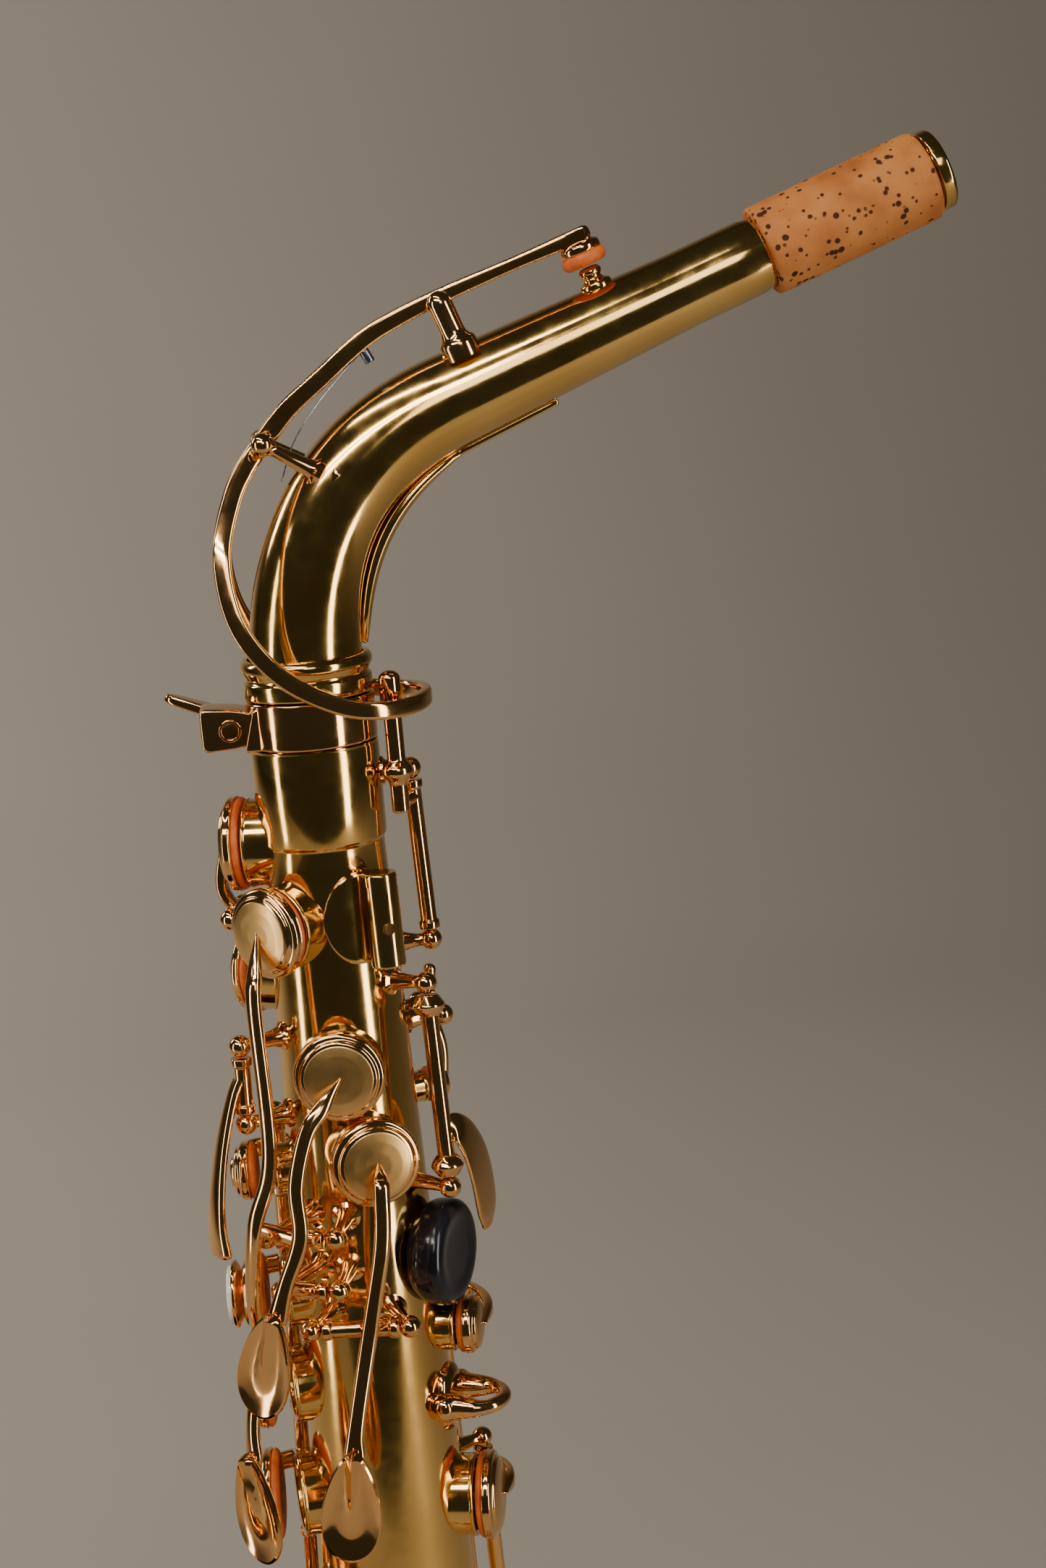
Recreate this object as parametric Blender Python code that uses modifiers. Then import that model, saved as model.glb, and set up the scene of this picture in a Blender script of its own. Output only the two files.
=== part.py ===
"""Alto saxophone: neck, body, bow, bell and keywork as separate closed solids.

Everything is laid out in millimetres in the horn's own frame and turned into metres when a part is
finished. In that frame Z is the axis of the body tube and points up the body, the top of the neck
receiver is at z = 0, +X points to the player (the mouthpiece end), -X to the bell, and -Y to the
player's left. An angle is measured about Z from +X towards +Y. All parts hang from one empty, which puts
the hole of the strap ring at the world's origin.
"""
import math

import bmesh
import bpy
from mathutils import Matrix, Vector

MILLIMETRE = 0.001
GAP = 0.3                     # clearance between pieces that touch on the real horn

# Receiver and neck
RECEIVER_RADIUS = 13.5        # clamp band and socket, outside
SOCKET_RADIUS = 12.2          # bore that takes the neck's tenon
SOCKET_DEPTH = 22.5
CLAMP_HEIGHT = 9.7
SLEEVE_BOTTOM = -30.4         # where the thick socket ends on the body tube
NECK_RADIUS = 11.95           # neck tube at its base
NECK_TAPER = 0.033            # loss of radius for each millimetre of length
NECK_TIP_RADIUS = 7.0         # tube under the cork
NECK_WALL = 0.9
NECK_BASE = 2.6               # height at which the tube stands inside the collar
NECK_BEND_END = (35.0, 57.9)  # X and Z where the bend becomes straight
NECK_BEND_HANDLES = (32.0, 22.0)
NECK_SLOPE = 20.1             # degrees, straight end above the horizontal
NECK_STRAIGHT = 111.5         # from the bend to the tip
FIRST_STEP = 0.02             # keeps the tube upright where it stands in the collar
CORK_LENGTH = 38.0
CORK_RADIUS = 9.4
END_RING_LENGTH = 3.2
END_RING_RADIUS = 8.45
COLLAR_RADIUS = 13.85
COLLAR_TOP = 8.5
NECK_LOOP_BAR = 1.3

# Neck octave key, in the plane of the bend
PIP_PLACE = 36.5              # along the straight run
PIP_TOP = 12.4                # above the centre line
BRACE_END = 66.0
GUIDE_PLACE = 5.5
GUIDE_SIDE = 4.9              # the guide stands beside the strap
PIVOT = Vector((-4.4, 0.0, 52.5))
PIVOT_POST = 7.2              # ball of a pivot post, out from the middle
OCTAVE_STRAP = [(8.0, 63.6), (17.8, 71.3), (25.5, 75.0), (30.6, 77.4), (64.4, 88.6)]
OCTAVE_LOOP = [(-4.4, 3.0, 52.5), (-11.6, 8.0, 42.3), (-14.8, 12.5, 32.8), (-13.8, 15.5, 22.0),
               (-11.0, 17.0, 14.5), (-4.0, 17.4, 5.3), (6.0, 17.0, -0.5), (14.0, 15.0, -2.5),
               (20.5, 10.5, -2.5), (23.8, 4.0, -2.2)]

# Body, bow and bell
BODY_TOP = -10.0
BODY_BOTTOM = -470.0
BODY_RADIUS = 12.8            # just below the socket
BODY_TAPER = 0.028            # gain of radius for each millimetre down
BODY_WALL = 0.9
BODY_FACETS = 32
BOW_START = -470.6
BOW_LEVEL = -485.0            # where the bend of the bow starts and ends
BOW_BEND = 40.0               # radius of the bow's centre line
BOW_RADII = (25.4, 31.0)
BOW_STUB = 2.0                # straight end that meets the bell
BELL_HEIGHT = 250.0
BELL_LEAN = 0.064             # outward travel for each millimetre up
BELL_RADIUS = 31.0
BELL_CONE = 0.055
BELL_FLARE = 16.7
BELL_FLARE_POWER = 5
BELL_WALL = 1.0
RIM_BEAD = 1.9

# Keywork
CHIMNEY_LIFT = 3.2            # tone-hole edge above the tube
CHIMNEY_WALL = 1.2
CUP_OVERHANG = 1.9            # cup outside the bore of its tone hole
CUP_DEPTH = 4.5               # cup and pad together
HINGE_RADIUS = 1.9
HINGE_LIFT = 7.0
BALL_RADIUS = 2.2             # head of a post
POST_RADIUS = 1.5
PEARL_RADIUS = 6.4
PEARL_HEIGHT = 2.2
PEARL_HOLDER = 1.6

# Strap ring: a bow in the plane across the body, on a soldered foot
STRAP_ANGLE = -22.0
STRAP_HEIGHT = -157.5
STRAP_FOOT = 1.6
STRAP_BOW_RADIUS = 5.4
STRAP_WIRE = 1.7
STRAP_REACH = 6.8             # ring centre above the body

# Clamp of the receiver and its wing screw
LUG_WIDTH = 9.0
SLOT_WIDTH = 1.6
SCREW_RADIUS = 1.4
CLAMP_SCREW = Vector((-17.0, 0.0, -5.3))
WING_REACH = 14.5
WING_TILT = 22.0

# Thumb rest
THUMB_REST_ANGLE = -28.0
THUMB_REST_HEIGHT = -122.6

# Touches of the palm keys, and the radius of a thin arm
TOUCH_WIDTH = 12.4
TOUCH_LENGTH = 25.0
ARM = 1.4

# Ball that pushes the neck's octave loop
PIN = Vector((16.6, -5.5, 1.2))

# Long side keys: name, cup angle, cup height, bore, rod angle, rod top, rod bottom, touch height and
# the lifts of the arm's points
SIDE_KEYS = [
    ("high_e_key", 150, -60.0, 7.7, 98, -58.0, -268.0, -282.0, (8.0, 10.5, 9.5, 8.2)),
    ("side_c_key", -15, -141.5, 4.4, 48, -138.5, -292.0, -306.0, (8.0, 10.0, 10.0, 8.2)),
    ("side_b_flat_key", -14, -182.5, 7.7, 26, -179.5, -318.0, -332.0, (8.0, 10.0, 10.0, 8.2)),
]

# Stack keys: name, cup height, bore, tube top, tube bottom, posts at the two ends, with a pearl or not
STACK_OPENING = 11.0
UPPER_STACK = [
    ("upper_c", -102.0, 4.4, -97.0, -110.0, (True, False), False),
    ("b", -130.0, 6.8, -112.0, -137.5, (False, False), True),
    ("bis", -152.0, 7.2, -139.5, -158.0, (False, True), False),
    ("a", -178.0, 8.2, -164.0, -194.0, (False, False), True),
    ("g", -212.0, 9.8, -196.0, -229.0, (False, True), True),
]
LOWER_STACK = [
    ("f_sharp", -290.0, 11.2, -280.0, -303.0, (True, False), False),
    ("f", -323.0, 11.8, -305.0, -337.5, (False, True), True),
    ("e", -359.0, 12.4, -343.5, -376.0, (False, False), True),
    ("d", -396.0, 13.0, -378.0, -409.0, (False, True), True),
]

# Keys of the bell: name, rod angle, rod bottom, cup height, bore, touch angle, touch height and the
# turn at which the cup stands open
LOW_ROD_TOP = -268.0
LOW_BELL_KEYS = [
    ("low_b_flat_key", 226, -352.0, -340.0, 17.0, 216, -270.0, 4.5),
    ("low_b_key", 244, -402.0, -390.0, 16.4, 236, -257.0, 4.5),
    ("low_c_sharp_key", 262, -452.0, -440.0, 15.0, 260, -244.0, 0.0),
]

# Low C on the bow
LOW_C_TURN = 40.0
LOW_C_GUARD_TURN = 55.0       # the guard stands clear of the key's arm
LOW_C_GUARD_REACH = 22.0

BRASS = ("gold_lacquer", (0.83, 0.58, 0.26), 0.12, 1.0)
CORK = ("natural_cork", (0.62, 0.33, 0.13), 0.75, 0.0)
LEATHER = ("pad_leather", (0.55, 0.16, 0.04), 0.55, 0.0)
PLASTIC = ("black_plastic", (0.01, 0.01, 0.012), 0.15, 0.0)
PEARL = ("mother_of_pearl", (0.85, 0.84, 0.8), 0.25, 0.0)

PLAYER = Vector((1.0, 0.0, 0.0))
ACROSS = Vector((0.0, 1.0, 0.0))
UP = Vector((0.0, 0.0, 1.0))


# ------------------------------------------------------------------ places on the horn
def body_radius(height):
    """Outside radius of the body tube at a height."""
    if height > SLEEVE_BOTTOM:
        return RECEIVER_RADIUS
    return BODY_RADIUS + BODY_TAPER * (SLEEVE_BOTTOM - height)


def radial(angle):
    """Unit vector that points out of the body at an angle in degrees."""
    turn = math.radians(angle)
    return Vector((math.cos(turn), math.sin(turn), 0.0))


def on_body(angle, height, lift=0.0):
    """Point at a distance above the surface of the body tube."""
    return radial(angle) * (body_radius(height) + lift) + UP * height


def bell_radius(height):
    """Outside radius of the bell, a cone that flares towards the rim."""
    along = height - BOW_LEVEL
    return BELL_RADIUS + BELL_CONE * along + BELL_FLARE * (along / BELL_HEIGHT) ** BELL_FLARE_POWER


def bell_centre(height):
    """Point on the bell's leaning axis."""
    return Vector((-2 * BOW_BEND - BELL_LEAN * (height - BOW_LEVEL), 0.0, height))


def on_bell(angle, height, lift=0.0):
    """Point at a distance above the surface of the bell."""
    return bell_centre(height) + radial(angle) * (bell_radius(height) + lift)


def bow_point(turn):
    """Point on the bow's centre line, turn in degrees from the body to the bell."""
    swing = math.radians(turn)
    return Vector((BOW_BEND * (math.cos(swing) - 1), 0.0, BOW_LEVEL - BOW_BEND * math.sin(swing)))


def bow_radius(turn):
    """Outside radius of the bow at a turn."""
    return BOW_RADII[0] + (BOW_RADII[1] - BOW_RADII[0]) * turn / 180


def neck_points(steps, extra=0.0):
    """Centre line and radius of the neck: a cubic bend that ends in a straight run.

    Extra is added to the radius, so that the same rule gives the bore and what saddles the tube.
    """
    slope = math.radians(NECK_SLOPE)
    ahead = Vector((math.cos(slope), 0.0, math.sin(slope)))
    start = UP * NECK_BASE
    bend_end = PLAYER * NECK_BEND_END[0] + UP * NECK_BEND_END[1]
    handles = (start + UP * NECK_BEND_HANDLES[0], bend_end - ahead * NECK_BEND_HANDLES[1])
    points = []
    for t in [0.0, FIRST_STEP] + [step / steps for step in range(1, steps + 1)]:
        points.append(start * (1 - t) ** 3 + handles[0] * 3 * t * (1 - t) ** 2
                      + handles[1] * 3 * t * t * (1 - t) + bend_end * t ** 3)
    bare = NECK_STRAIGHT - CORK_LENGTH - END_RING_LENGTH
    points += [bend_end + ahead * bare * share for share in (0.4, 0.7, 0.995)]
    result = []
    travelled = 0.0
    for place, point in enumerate(points):
        if place:
            travelled += (point - points[place - 1]).length
        result.append((point, max(NECK_RADIUS - NECK_TAPER * travelled, NECK_TIP_RADIUS + NECK_WALL) + extra))
    result.append((bend_end + ahead * bare, NECK_TIP_RADIUS + extra))
    result.append((bend_end + ahead * NECK_STRAIGHT, NECK_TIP_RADIUS + extra))
    return result


def on_neck(distance, lift=0.0):
    """Point above the straight run of the neck, measured from the end of the bend."""
    slope = math.radians(NECK_SLOPE)
    ahead = Vector((math.cos(slope), 0.0, math.sin(slope)))
    above = Vector((-math.sin(slope), 0.0, math.cos(slope)))
    return PLAYER * NECK_BEND_END[0] + UP * NECK_BEND_END[1] + ahead * distance + above * lift


def strap_hole():
    """Centre of the strap ring's hole, the origin of the finished part."""
    return on_body(STRAP_ANGLE, STRAP_HEIGHT, STRAP_REACH)


# ------------------------------------------------------------------ scene and materials
def clear_scene():
    """Remove what a new file holds."""
    for item in list(bpy.data.objects):
        bpy.data.objects.remove(item)


def new_collection(name):
    """Collection linked to the scene."""
    collection = bpy.data.collections.new(name)
    bpy.context.scene.collection.children.link(collection)
    return collection


def material(finish):
    """Principled material of a finish, made once."""
    name, colour, roughness, metallic = finish
    found = bpy.data.materials.get(name)
    if found:
        return found
    made = bpy.data.materials.new(name)
    made.use_nodes = True
    shader = made.node_tree.nodes["Principled BSDF"]
    shader.inputs["Base Color"].default_value = (*colour, 1.0)
    shader.inputs["Roughness"].default_value = roughness
    shader.inputs["Metallic"].default_value = metallic
    return made


clear_scene()
PARTS = new_collection("alto_saxophone")
WORKSHOP = new_collection("cutters")
HORN = bpy.data.objects.new("horn", None)
PARTS.objects.link(HORN)
HORN.location = -strap_hole() * MILLIMETRE


# ------------------------------------------------------------------ solids, in millimetres
def workpiece(mesh):
    """Object in the workshop that holds a mesh in place."""
    piece = bpy.data.objects.new("workpiece", mesh)
    piece.hide_render = True
    piece.display_type = "WIRE"
    WORKSHOP.objects.link(piece)
    return piece


def evaluated(piece):
    """Mesh of an object with its modifiers applied; the object is removed."""
    graph = bpy.context.evaluated_depsgraph_get()
    mesh = bpy.data.meshes.new_from_object(piece.evaluated_get(graph))
    bpy.data.objects.remove(piece)
    return mesh


def facing(direction):
    """Rotation that turns Z to a direction."""
    return direction.to_track_quat("Z", "Y").to_matrix().to_4x4()


def from_bmesh(shape):
    """Workpiece from a bmesh."""
    mesh = bpy.data.meshes.new("solid")
    shape.to_mesh(mesh)
    shape.free()
    return workpiece(mesh)


def rod(start, end, radius, end_radius=None, sides=6):
    """Round bar, or a cone when it ends at another radius."""
    shape = bmesh.new()
    span = end - start
    place = Matrix.Translation((start + end) / 2) @ facing(span.normalized())
    bmesh.ops.create_cone(shape, cap_ends=True, segments=sides, radius1=radius,
                          radius2=radius if end_radius is None else end_radius,
                          depth=span.length, matrix=place)
    return from_bmesh(shape)


def ball(centre, radius=BALL_RADIUS, sides=6):
    """Round head of a post."""
    shape = bmesh.new()
    bmesh.ops.create_uvsphere(shape, u_segments=sides, v_segments=4, radius=radius,
                              matrix=Matrix.Translation(centre))
    return from_bmesh(shape)


def block(centre, size, outward, up=UP):
    """Box whose third size lies along outward and whose second size lies along up."""
    side = up.cross(outward).normalized()
    upright = outward.cross(side).normalized()
    turn = Matrix((side, upright, outward.normalized())).transposed().to_4x4()
    shape = bmesh.new()
    bmesh.ops.create_cube(shape, size=1.0, matrix=Matrix.Translation(centre) @ turn @ Matrix.Diagonal((*size, 1.0)))
    return from_bmesh(shape)


def turned(profile, base=Vector(), axis=UP, steps=16):
    """Solid of revolution from (radius, height) points that run down the outside."""
    mesh = bpy.data.meshes.new("profile")
    closed = profile[0][0] > 0
    count = len(profile)
    edges = [(i, i + 1) for i in range(count - 1)] + ([(count - 1, 0)] if closed else [])
    mesh.from_pydata([(radius, 0.0, height) for radius, height in profile], edges, [])
    piece = workpiece(mesh)
    screw = piece.modifiers.new("Screw", "SCREW")
    screw.steps = steps
    screw.render_steps = steps
    screw.use_merge_vertices = True
    screw.merge_threshold = 0.0001
    screw.use_smooth_shade = True
    result = workpiece(evaluated(piece))
    result.data.transform(Matrix.Translation(base) @ facing(axis))
    return result


def bar(points, radius, sides_level=1, radii=None):
    """Bent round bar or tube through points."""
    curve = bpy.data.curves.new("bar", "CURVE")
    curve.dimensions = "3D"
    curve.bevel_depth = radius
    curve.bevel_resolution = sides_level
    curve.use_fill_caps = True
    spline = curve.splines.new("POLY")
    spline.points.add(len(points) - 1)
    for index, point in enumerate(points):
        spline.points[index].co = (*point, 1.0)
        spline.points[index].radius = radii[index] / radius if radii else 1.0
    piece = bpy.data.objects.new("bar", curve)
    WORKSHOP.objects.link(piece)
    mesh = evaluated(piece)
    shape = bmesh.new()
    shape.from_mesh(mesh)
    bmesh.ops.remove_doubles(shape, verts=shape.verts, dist=0.0001)
    return from_bmesh(shape)


def flat_plate(outline, thickness, centre, outward, up=UP):
    """Plate cut to a closed outline of (across, up) points, with its middle plane at centre."""
    curve = bpy.data.curves.new("outline", "CURVE")
    curve.dimensions = "2D"
    curve.fill_mode = "BOTH"
    curve.extrude = thickness / 2
    spline = curve.splines.new("POLY")
    spline.points.add(len(outline) - 1)
    spline.use_cyclic_u = True
    for index, (across, height) in enumerate(outline):
        spline.points[index].co = (across, height, 0.0, 1.0)
    piece = bpy.data.objects.new("plate", curve)
    WORKSHOP.objects.link(piece)
    shape = bmesh.new()
    shape.from_mesh(evaluated(piece))
    bmesh.ops.remove_doubles(shape, verts=shape.verts, dist=0.0001)
    side = up.cross(outward).normalized()
    upright = outward.cross(side).normalized()
    turn = Matrix((side, upright, outward.normalized())).transposed().to_4x4()
    bmesh.ops.transform(shape, matrix=Matrix.Translation(centre) @ turn, verts=shape.verts)
    return from_bmesh(shape)


def combined(pieces, operation):
    """Workpiece that joins or cuts the first piece by the others."""
    base = pieces[0]
    for other in pieces[1:]:
        boolean = base.modifiers.new("Boolean", "BOOLEAN")
        boolean.operation = operation
        boolean.solver = "EXACT"
        boolean.object = other
    result = workpiece(evaluated(base))
    for other in pieces[1:]:
        bpy.data.objects.remove(other)
    return result


def fuse(*pieces):
    """Union of pieces."""
    return combined(pieces, "UNION")


def cut(*pieces):
    """First piece without the others."""
    return combined(pieces, "DIFFERENCE")


def finish(name, piece, look=BRASS, pivot=None, parent=HORN, carrier=Vector(), swing=None):
    """Turn a workpiece into a finished part in metres, with its origin at the pivot.

    Carrier is the parent's own pivot. Swing is an axis and an angle that stand an open key at rest.
    """
    place = pivot if pivot is not None else Vector()
    mesh = evaluated(piece)
    mesh.name = name
    mesh.transform(Matrix.Scale(MILLIMETRE, 4) @ Matrix.Translation(-place))
    mesh.materials.clear()
    mesh.materials.append(material(look))
    mesh.shade_smooth()
    mesh.set_sharp_from_angle(angle=math.radians(35))
    part = bpy.data.objects.new(name, mesh)
    PARTS.objects.link(part)
    part.parent = parent
    part.location = (place - carrier) * MILLIMETRE
    if swing:
        part.rotation_mode = "AXIS_ANGLE"
        part.rotation_axis_angle = (math.radians(swing[1]), *swing[0])
    return part


# ------------------------------------------------------------------ tone holes and posts
BODY_FEATURES = []            # what is soldered on the body
BODY_BORES = []               # what is drilled in it
BELL_FEATURES = []
BELL_BORES = []
BOW_FEATURES = []
BOW_BORES = []


class ToneHole:
    """Chimney on a tube with a bore through it, and the cup that closes it."""

    def __init__(self, centre, outward, reach, bore, features, bores, depth=9.0):
        """Centre is on the tube's axis, reach is the tube's radius there."""
        self.centre = centre
        self.outward = outward
        self.bore = bore
        self.edge = reach + CHIMNEY_LIFT
        self.cup_radius = bore + CUP_OVERHANG
        root = centre + outward * (reach - depth)
        top = centre + outward * self.edge
        sides = 10 if bore < 9 else 14
        features.append(rod(root, top, bore + CHIMNEY_WALL, sides=sides))
        bores.append(rod(root - outward, top + outward * 2, bore, sides=sides))

    def above(self, height, along=0.0):
        """Point over the middle of the hole, measured from the chimney's edge."""
        return self.centre + self.outward * (self.edge + height) + UP * along

    def cup(self):
        """Cup with its pad, domed on top, a clearance above the chimney."""
        low, high = self.edge + GAP, self.edge + GAP + CUP_DEPTH
        profile = [(0.0, high + 0.4), (self.cup_radius - 1.0, high), (self.cup_radius, high - 1.2),
                   (self.cup_radius, low), (0.0, low)]
        return turned(profile, self.centre, self.outward, 10 if self.bore < 9 else 14)

    def pearl_seat(self):
        """Holder of a finger pearl on top of the cup."""
        low = self.edge + GAP + CUP_DEPTH - 0.5
        return turned([(0.0, low + 1.0 + PEARL_HOLDER), (PEARL_RADIUS + 0.9, low + 1.0 + PEARL_HOLDER),
                       (PEARL_RADIUS - 1.5, low), (0.0, low)],
                      self.centre, self.outward, 12)

    def pearl(self):
        """Finger pearl that stands in its holder."""
        low = self.edge + 2 * GAP + CUP_DEPTH + 0.5 + PEARL_HOLDER
        return turned([(0.0, low + PEARL_HEIGHT), (PEARL_RADIUS, low + PEARL_HEIGHT - 0.8),
                       (PEARL_RADIUS, low), (0.0, low)], self.centre, self.outward, 12)


def body_hole(angle, height, bore):
    """Tone hole on the body tube."""
    depth = min(9.0, body_radius(height) - 4.5)
    return ToneHole(UP * height, radial(angle), body_radius(height), bore, BODY_FEATURES, BODY_BORES, depth)


def bell_hole(angle, height, bore):
    """Tone hole on the bell."""
    return ToneHole(bell_centre(height), radial(angle), bell_radius(height), bore,
                    BELL_FEATURES, BELL_BORES, 14.0)


def body_post(head):
    """Post on the body tube whose ball is at a point."""
    outward = Vector((head.x, head.y, 0.0)).normalized()
    foot = outward * (body_radius(head.z) - BODY_WALL / 2) + UP * head.z
    BODY_FEATURES.append(rod(foot, head, POST_RADIUS * 1.3, POST_RADIUS * 0.8, sides=6))
    BODY_FEATURES.append(ball(head, sides=6))


class Hinge:
    """Hinge tube between two points, with a post past each end that is asked for."""

    def __init__(self, start, end, posts=(True, True), radius=HINGE_RADIUS):
        """Start and end are the tube's ends."""
        self.start = start
        self.end = end
        self.axis = (end - start).normalized()
        self.radius = radius
        past = GAP + BALL_RADIUS
        if posts[0]:
            body_post(start - self.axis * past)
        if posts[1]:
            body_post(end + self.axis * past)

    def tube(self):
        """Solid of the tube."""
        return rod(self.start, self.end, self.radius)

    def middle(self):
        """Middle of the tube, where the key's origin goes."""
        return (self.start + self.end) / 2

    def at(self, share):
        """Point along the tube."""
        return self.start.lerp(self.end, share)

    def open_turn(self, point, outward, degrees):
        """Axis and angle that move a point outward."""
        travel = self.axis.cross(point - self.start).dot(outward)
        return self.axis, math.copysign(degrees, travel)


def lengthwise_hinge(angle, top, bottom, lift=HINGE_LIFT, posts=(True, True), radius=HINGE_RADIUS):
    """Hinge along the body tube."""
    return Hinge(on_body(angle, top, lift), on_body(angle, bottom, lift), posts, radius)


def crosswise_hinge(angle, height, length, lift=HINGE_LIFT):
    """Hinge at right angles to the body tube."""
    middle = on_body(angle, height, lift)
    side = UP.cross(radial(angle))
    return Hinge(middle - side * length / 2, middle + side * length / 2)


def build_key(name, hinge, pieces, swing=None):
    """Key of one hinge tube and what is brazed to it."""
    return finish(name, fuse(hinge.tube(), *pieces), pivot=hinge.middle(), swing=swing)


def around_body(start_angle, end_angle, height, lifts):
    """Points of an arm that runs round the body tube."""
    last = len(lifts) - 1
    return [on_body(start_angle + (end_angle - start_angle) * i / last, height, lifts[i])
            for i in range(last + 1)]


# ------------------------------------------------------------------ neck
def neck_solid(extra=0.0, steps=8):
    """Outside of the neck tube grown by a clearance."""
    run = neck_points(steps, extra)
    return bar([point for point, _ in run], NECK_RADIUS, 5, [radius for _, radius in run])


def make_neck():
    """Neck, its fittings and the octave key that rides on it."""
    run = neck_points(8)
    first, last = run[0][0], run[-1][0]
    ahead = (last - run[-2][0]).normalized()
    bore = [first - UP * 2] + [point for point, _ in run[1:-1]] + [last + ahead * 2]
    radii = [max(radius - NECK_WALL, NECK_TIP_RADIUS - NECK_WALL) for _, radius in run]
    neck = finish("neck_tube", cut(neck_solid(), bar(bore, NECK_RADIUS, 5, radii)))

    tenon = SOCKET_RADIUS - GAP
    shelf = NECK_BASE - GAP
    seat = NECK_RADIUS + GAP
    finish("neck_collar", turned([(seat, COLLAR_TOP), (COLLAR_RADIUS - 1.2, COLLAR_TOP),
                                  (COLLAR_RADIUS, COLLAR_TOP - 2.5),
                                  (COLLAR_RADIUS, GAP), (tenon, GAP), (tenon, GAP - SOCKET_DEPTH + 0.7),
                                  (tenon - NECK_WALL, GAP - SOCKET_DEPTH + 0.7), (tenon - NECK_WALL, shelf),
                                  (seat, shelf)], steps=24), parent=neck)

    sleeve = NECK_TIP_RADIUS + GAP
    bare = NECK_STRAIGHT - CORK_LENGTH - END_RING_LENGTH
    finish("neck_cork", turned([(sleeve, CORK_LENGTH - GAP), (CORK_RADIUS - 0.8, CORK_LENGTH - GAP),
                                (CORK_RADIUS, CORK_LENGTH - 1.5), (CORK_RADIUS, GAP), (sleeve, GAP)],
                               on_neck(bare), ahead, 20), CORK, parent=neck)
    finish("neck_end_ring", turned([(sleeve, END_RING_LENGTH), (END_RING_RADIUS - 0.6, END_RING_LENGTH),
                                    (END_RING_RADIUS, END_RING_LENGTH - 0.8), (END_RING_RADIUS, GAP),
                                    (sleeve, GAP)],
                                   on_neck(bare + CORK_LENGTH), ahead, 20), parent=neck)
    make_neck_brace(neck)
    make_neck_fittings(neck)
    make_neck_octave_key(neck)


def make_neck_brace(neck):
    """Strip under the bend, thickest in the middle and run out to a point at both ends."""
    run = [pair for pair in neck_points(12) if COLLAR_TOP + 1.0 < pair[0].z and pair[0].x < BRACE_END]
    below, edge = [], []
    for place in range(len(run) - 1):
        point, radius = run[place]
        along = (run[place + 1][0] - point).normalized()
        under = Vector((along.z, 0.0, -along.x))
        share = place / (len(run) - 2)
        thickness = 0.5 + 2.8 * math.sin(math.pi * min(share * 1.3, 1.0)) ** 0.8
        below.append(point + under * (radius + GAP))
        edge.append(point + under * (radius + GAP + thickness))
    outline = [(-point.x, point.z) for point in below + edge[::-1]]
    finish("neck_brace", flat_plate(outline, 9.0, Vector(), ACROSS), parent=neck)


def make_neck_fittings(neck):
    """Octave pip, strap guide and the saddle that carries the octave key."""
    pip = on_neck(PIP_PLACE)
    top = on_neck(PIP_PLACE, PIP_TOP)
    above = (top - pip).normalized()
    finish("neck_octave_pip", cut(fuse(rod(pip, pip + above * 9.2, 3.2, sides=10),
                                       rod(pip, top, 2.3, 1.8, sides=10)), neck_solid(GAP)), parent=neck)

    base = on_neck(GUIDE_PLACE) - ACROSS * GUIDE_SIDE
    guide = fuse(rod(base, base + above * 11.6, 3.4, sides=10), rod(base, base + above * 19.0, 2.4, sides=10),
                 ball(base + above * 19.0, 2.4, 10))
    finish("neck_guide_post", cut(guide, neck_solid(GAP)), parent=neck)

    pieces = [rod(Vector((10.0, 0.0, 42.0)), Vector((-1.2, 0.0, 50.0)), 5.2, sides=10)]
    for side in (-1, 1):
        head = PIVOT + ACROSS * side * PIVOT_POST
        pieces.append(rod(Vector((8.0, side * 5.2, 44.6)), head, 2.2, 1.5, sides=6))
        pieces.append(ball(head))
    finish("neck_pivot_saddle", cut(fuse(*pieces), neck_solid(GAP)), parent=neck)


def make_neck_octave_key(neck):
    """Strap from the pad over the neck to the pivot, and the loop round the neck below it."""
    reach = PIVOT_POST - BALL_RADIUS - GAP
    tube = rod(PIVOT - ACROSS * reach, PIVOT + ACROSS * reach, HINGE_RADIUS)
    strap = bar([PIVOT] + [Vector((x, 0.0, z)) for x, z in OCTAVE_STRAP], NECK_LOOP_BAR)
    near = [Vector((x, -y, z)) for x, y, z in OCTAVE_LOOP]
    far = [Vector((x, y, z)) for x, y, z in reversed(OCTAVE_LOOP)]
    loop = bar(near + far, NECK_LOOP_BAR)
    seat = on_neck(PIP_PLACE, PIP_TOP + GAP)
    above = (seat - on_neck(PIP_PLACE)).normalized()
    cup = turned([(0.0, 5.0), (3.2, 5.0), (3.8, 4.2), (3.8, 2.6), (0.0, 2.6)], seat, above, 12)
    key = finish("neck_octave_key", fuse(tube, strap, loop, cup), pivot=PIVOT, parent=neck)
    pad = turned([(0.0, 2.6 - GAP), (3.9, 2.6 - GAP), (3.9, 0.0), (0.0, 0.0)], seat, above, 12)
    finish("neck_octave_pad", pad, LEATHER, pivot=PIVOT, parent=key, carrier=PIVOT)


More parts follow.
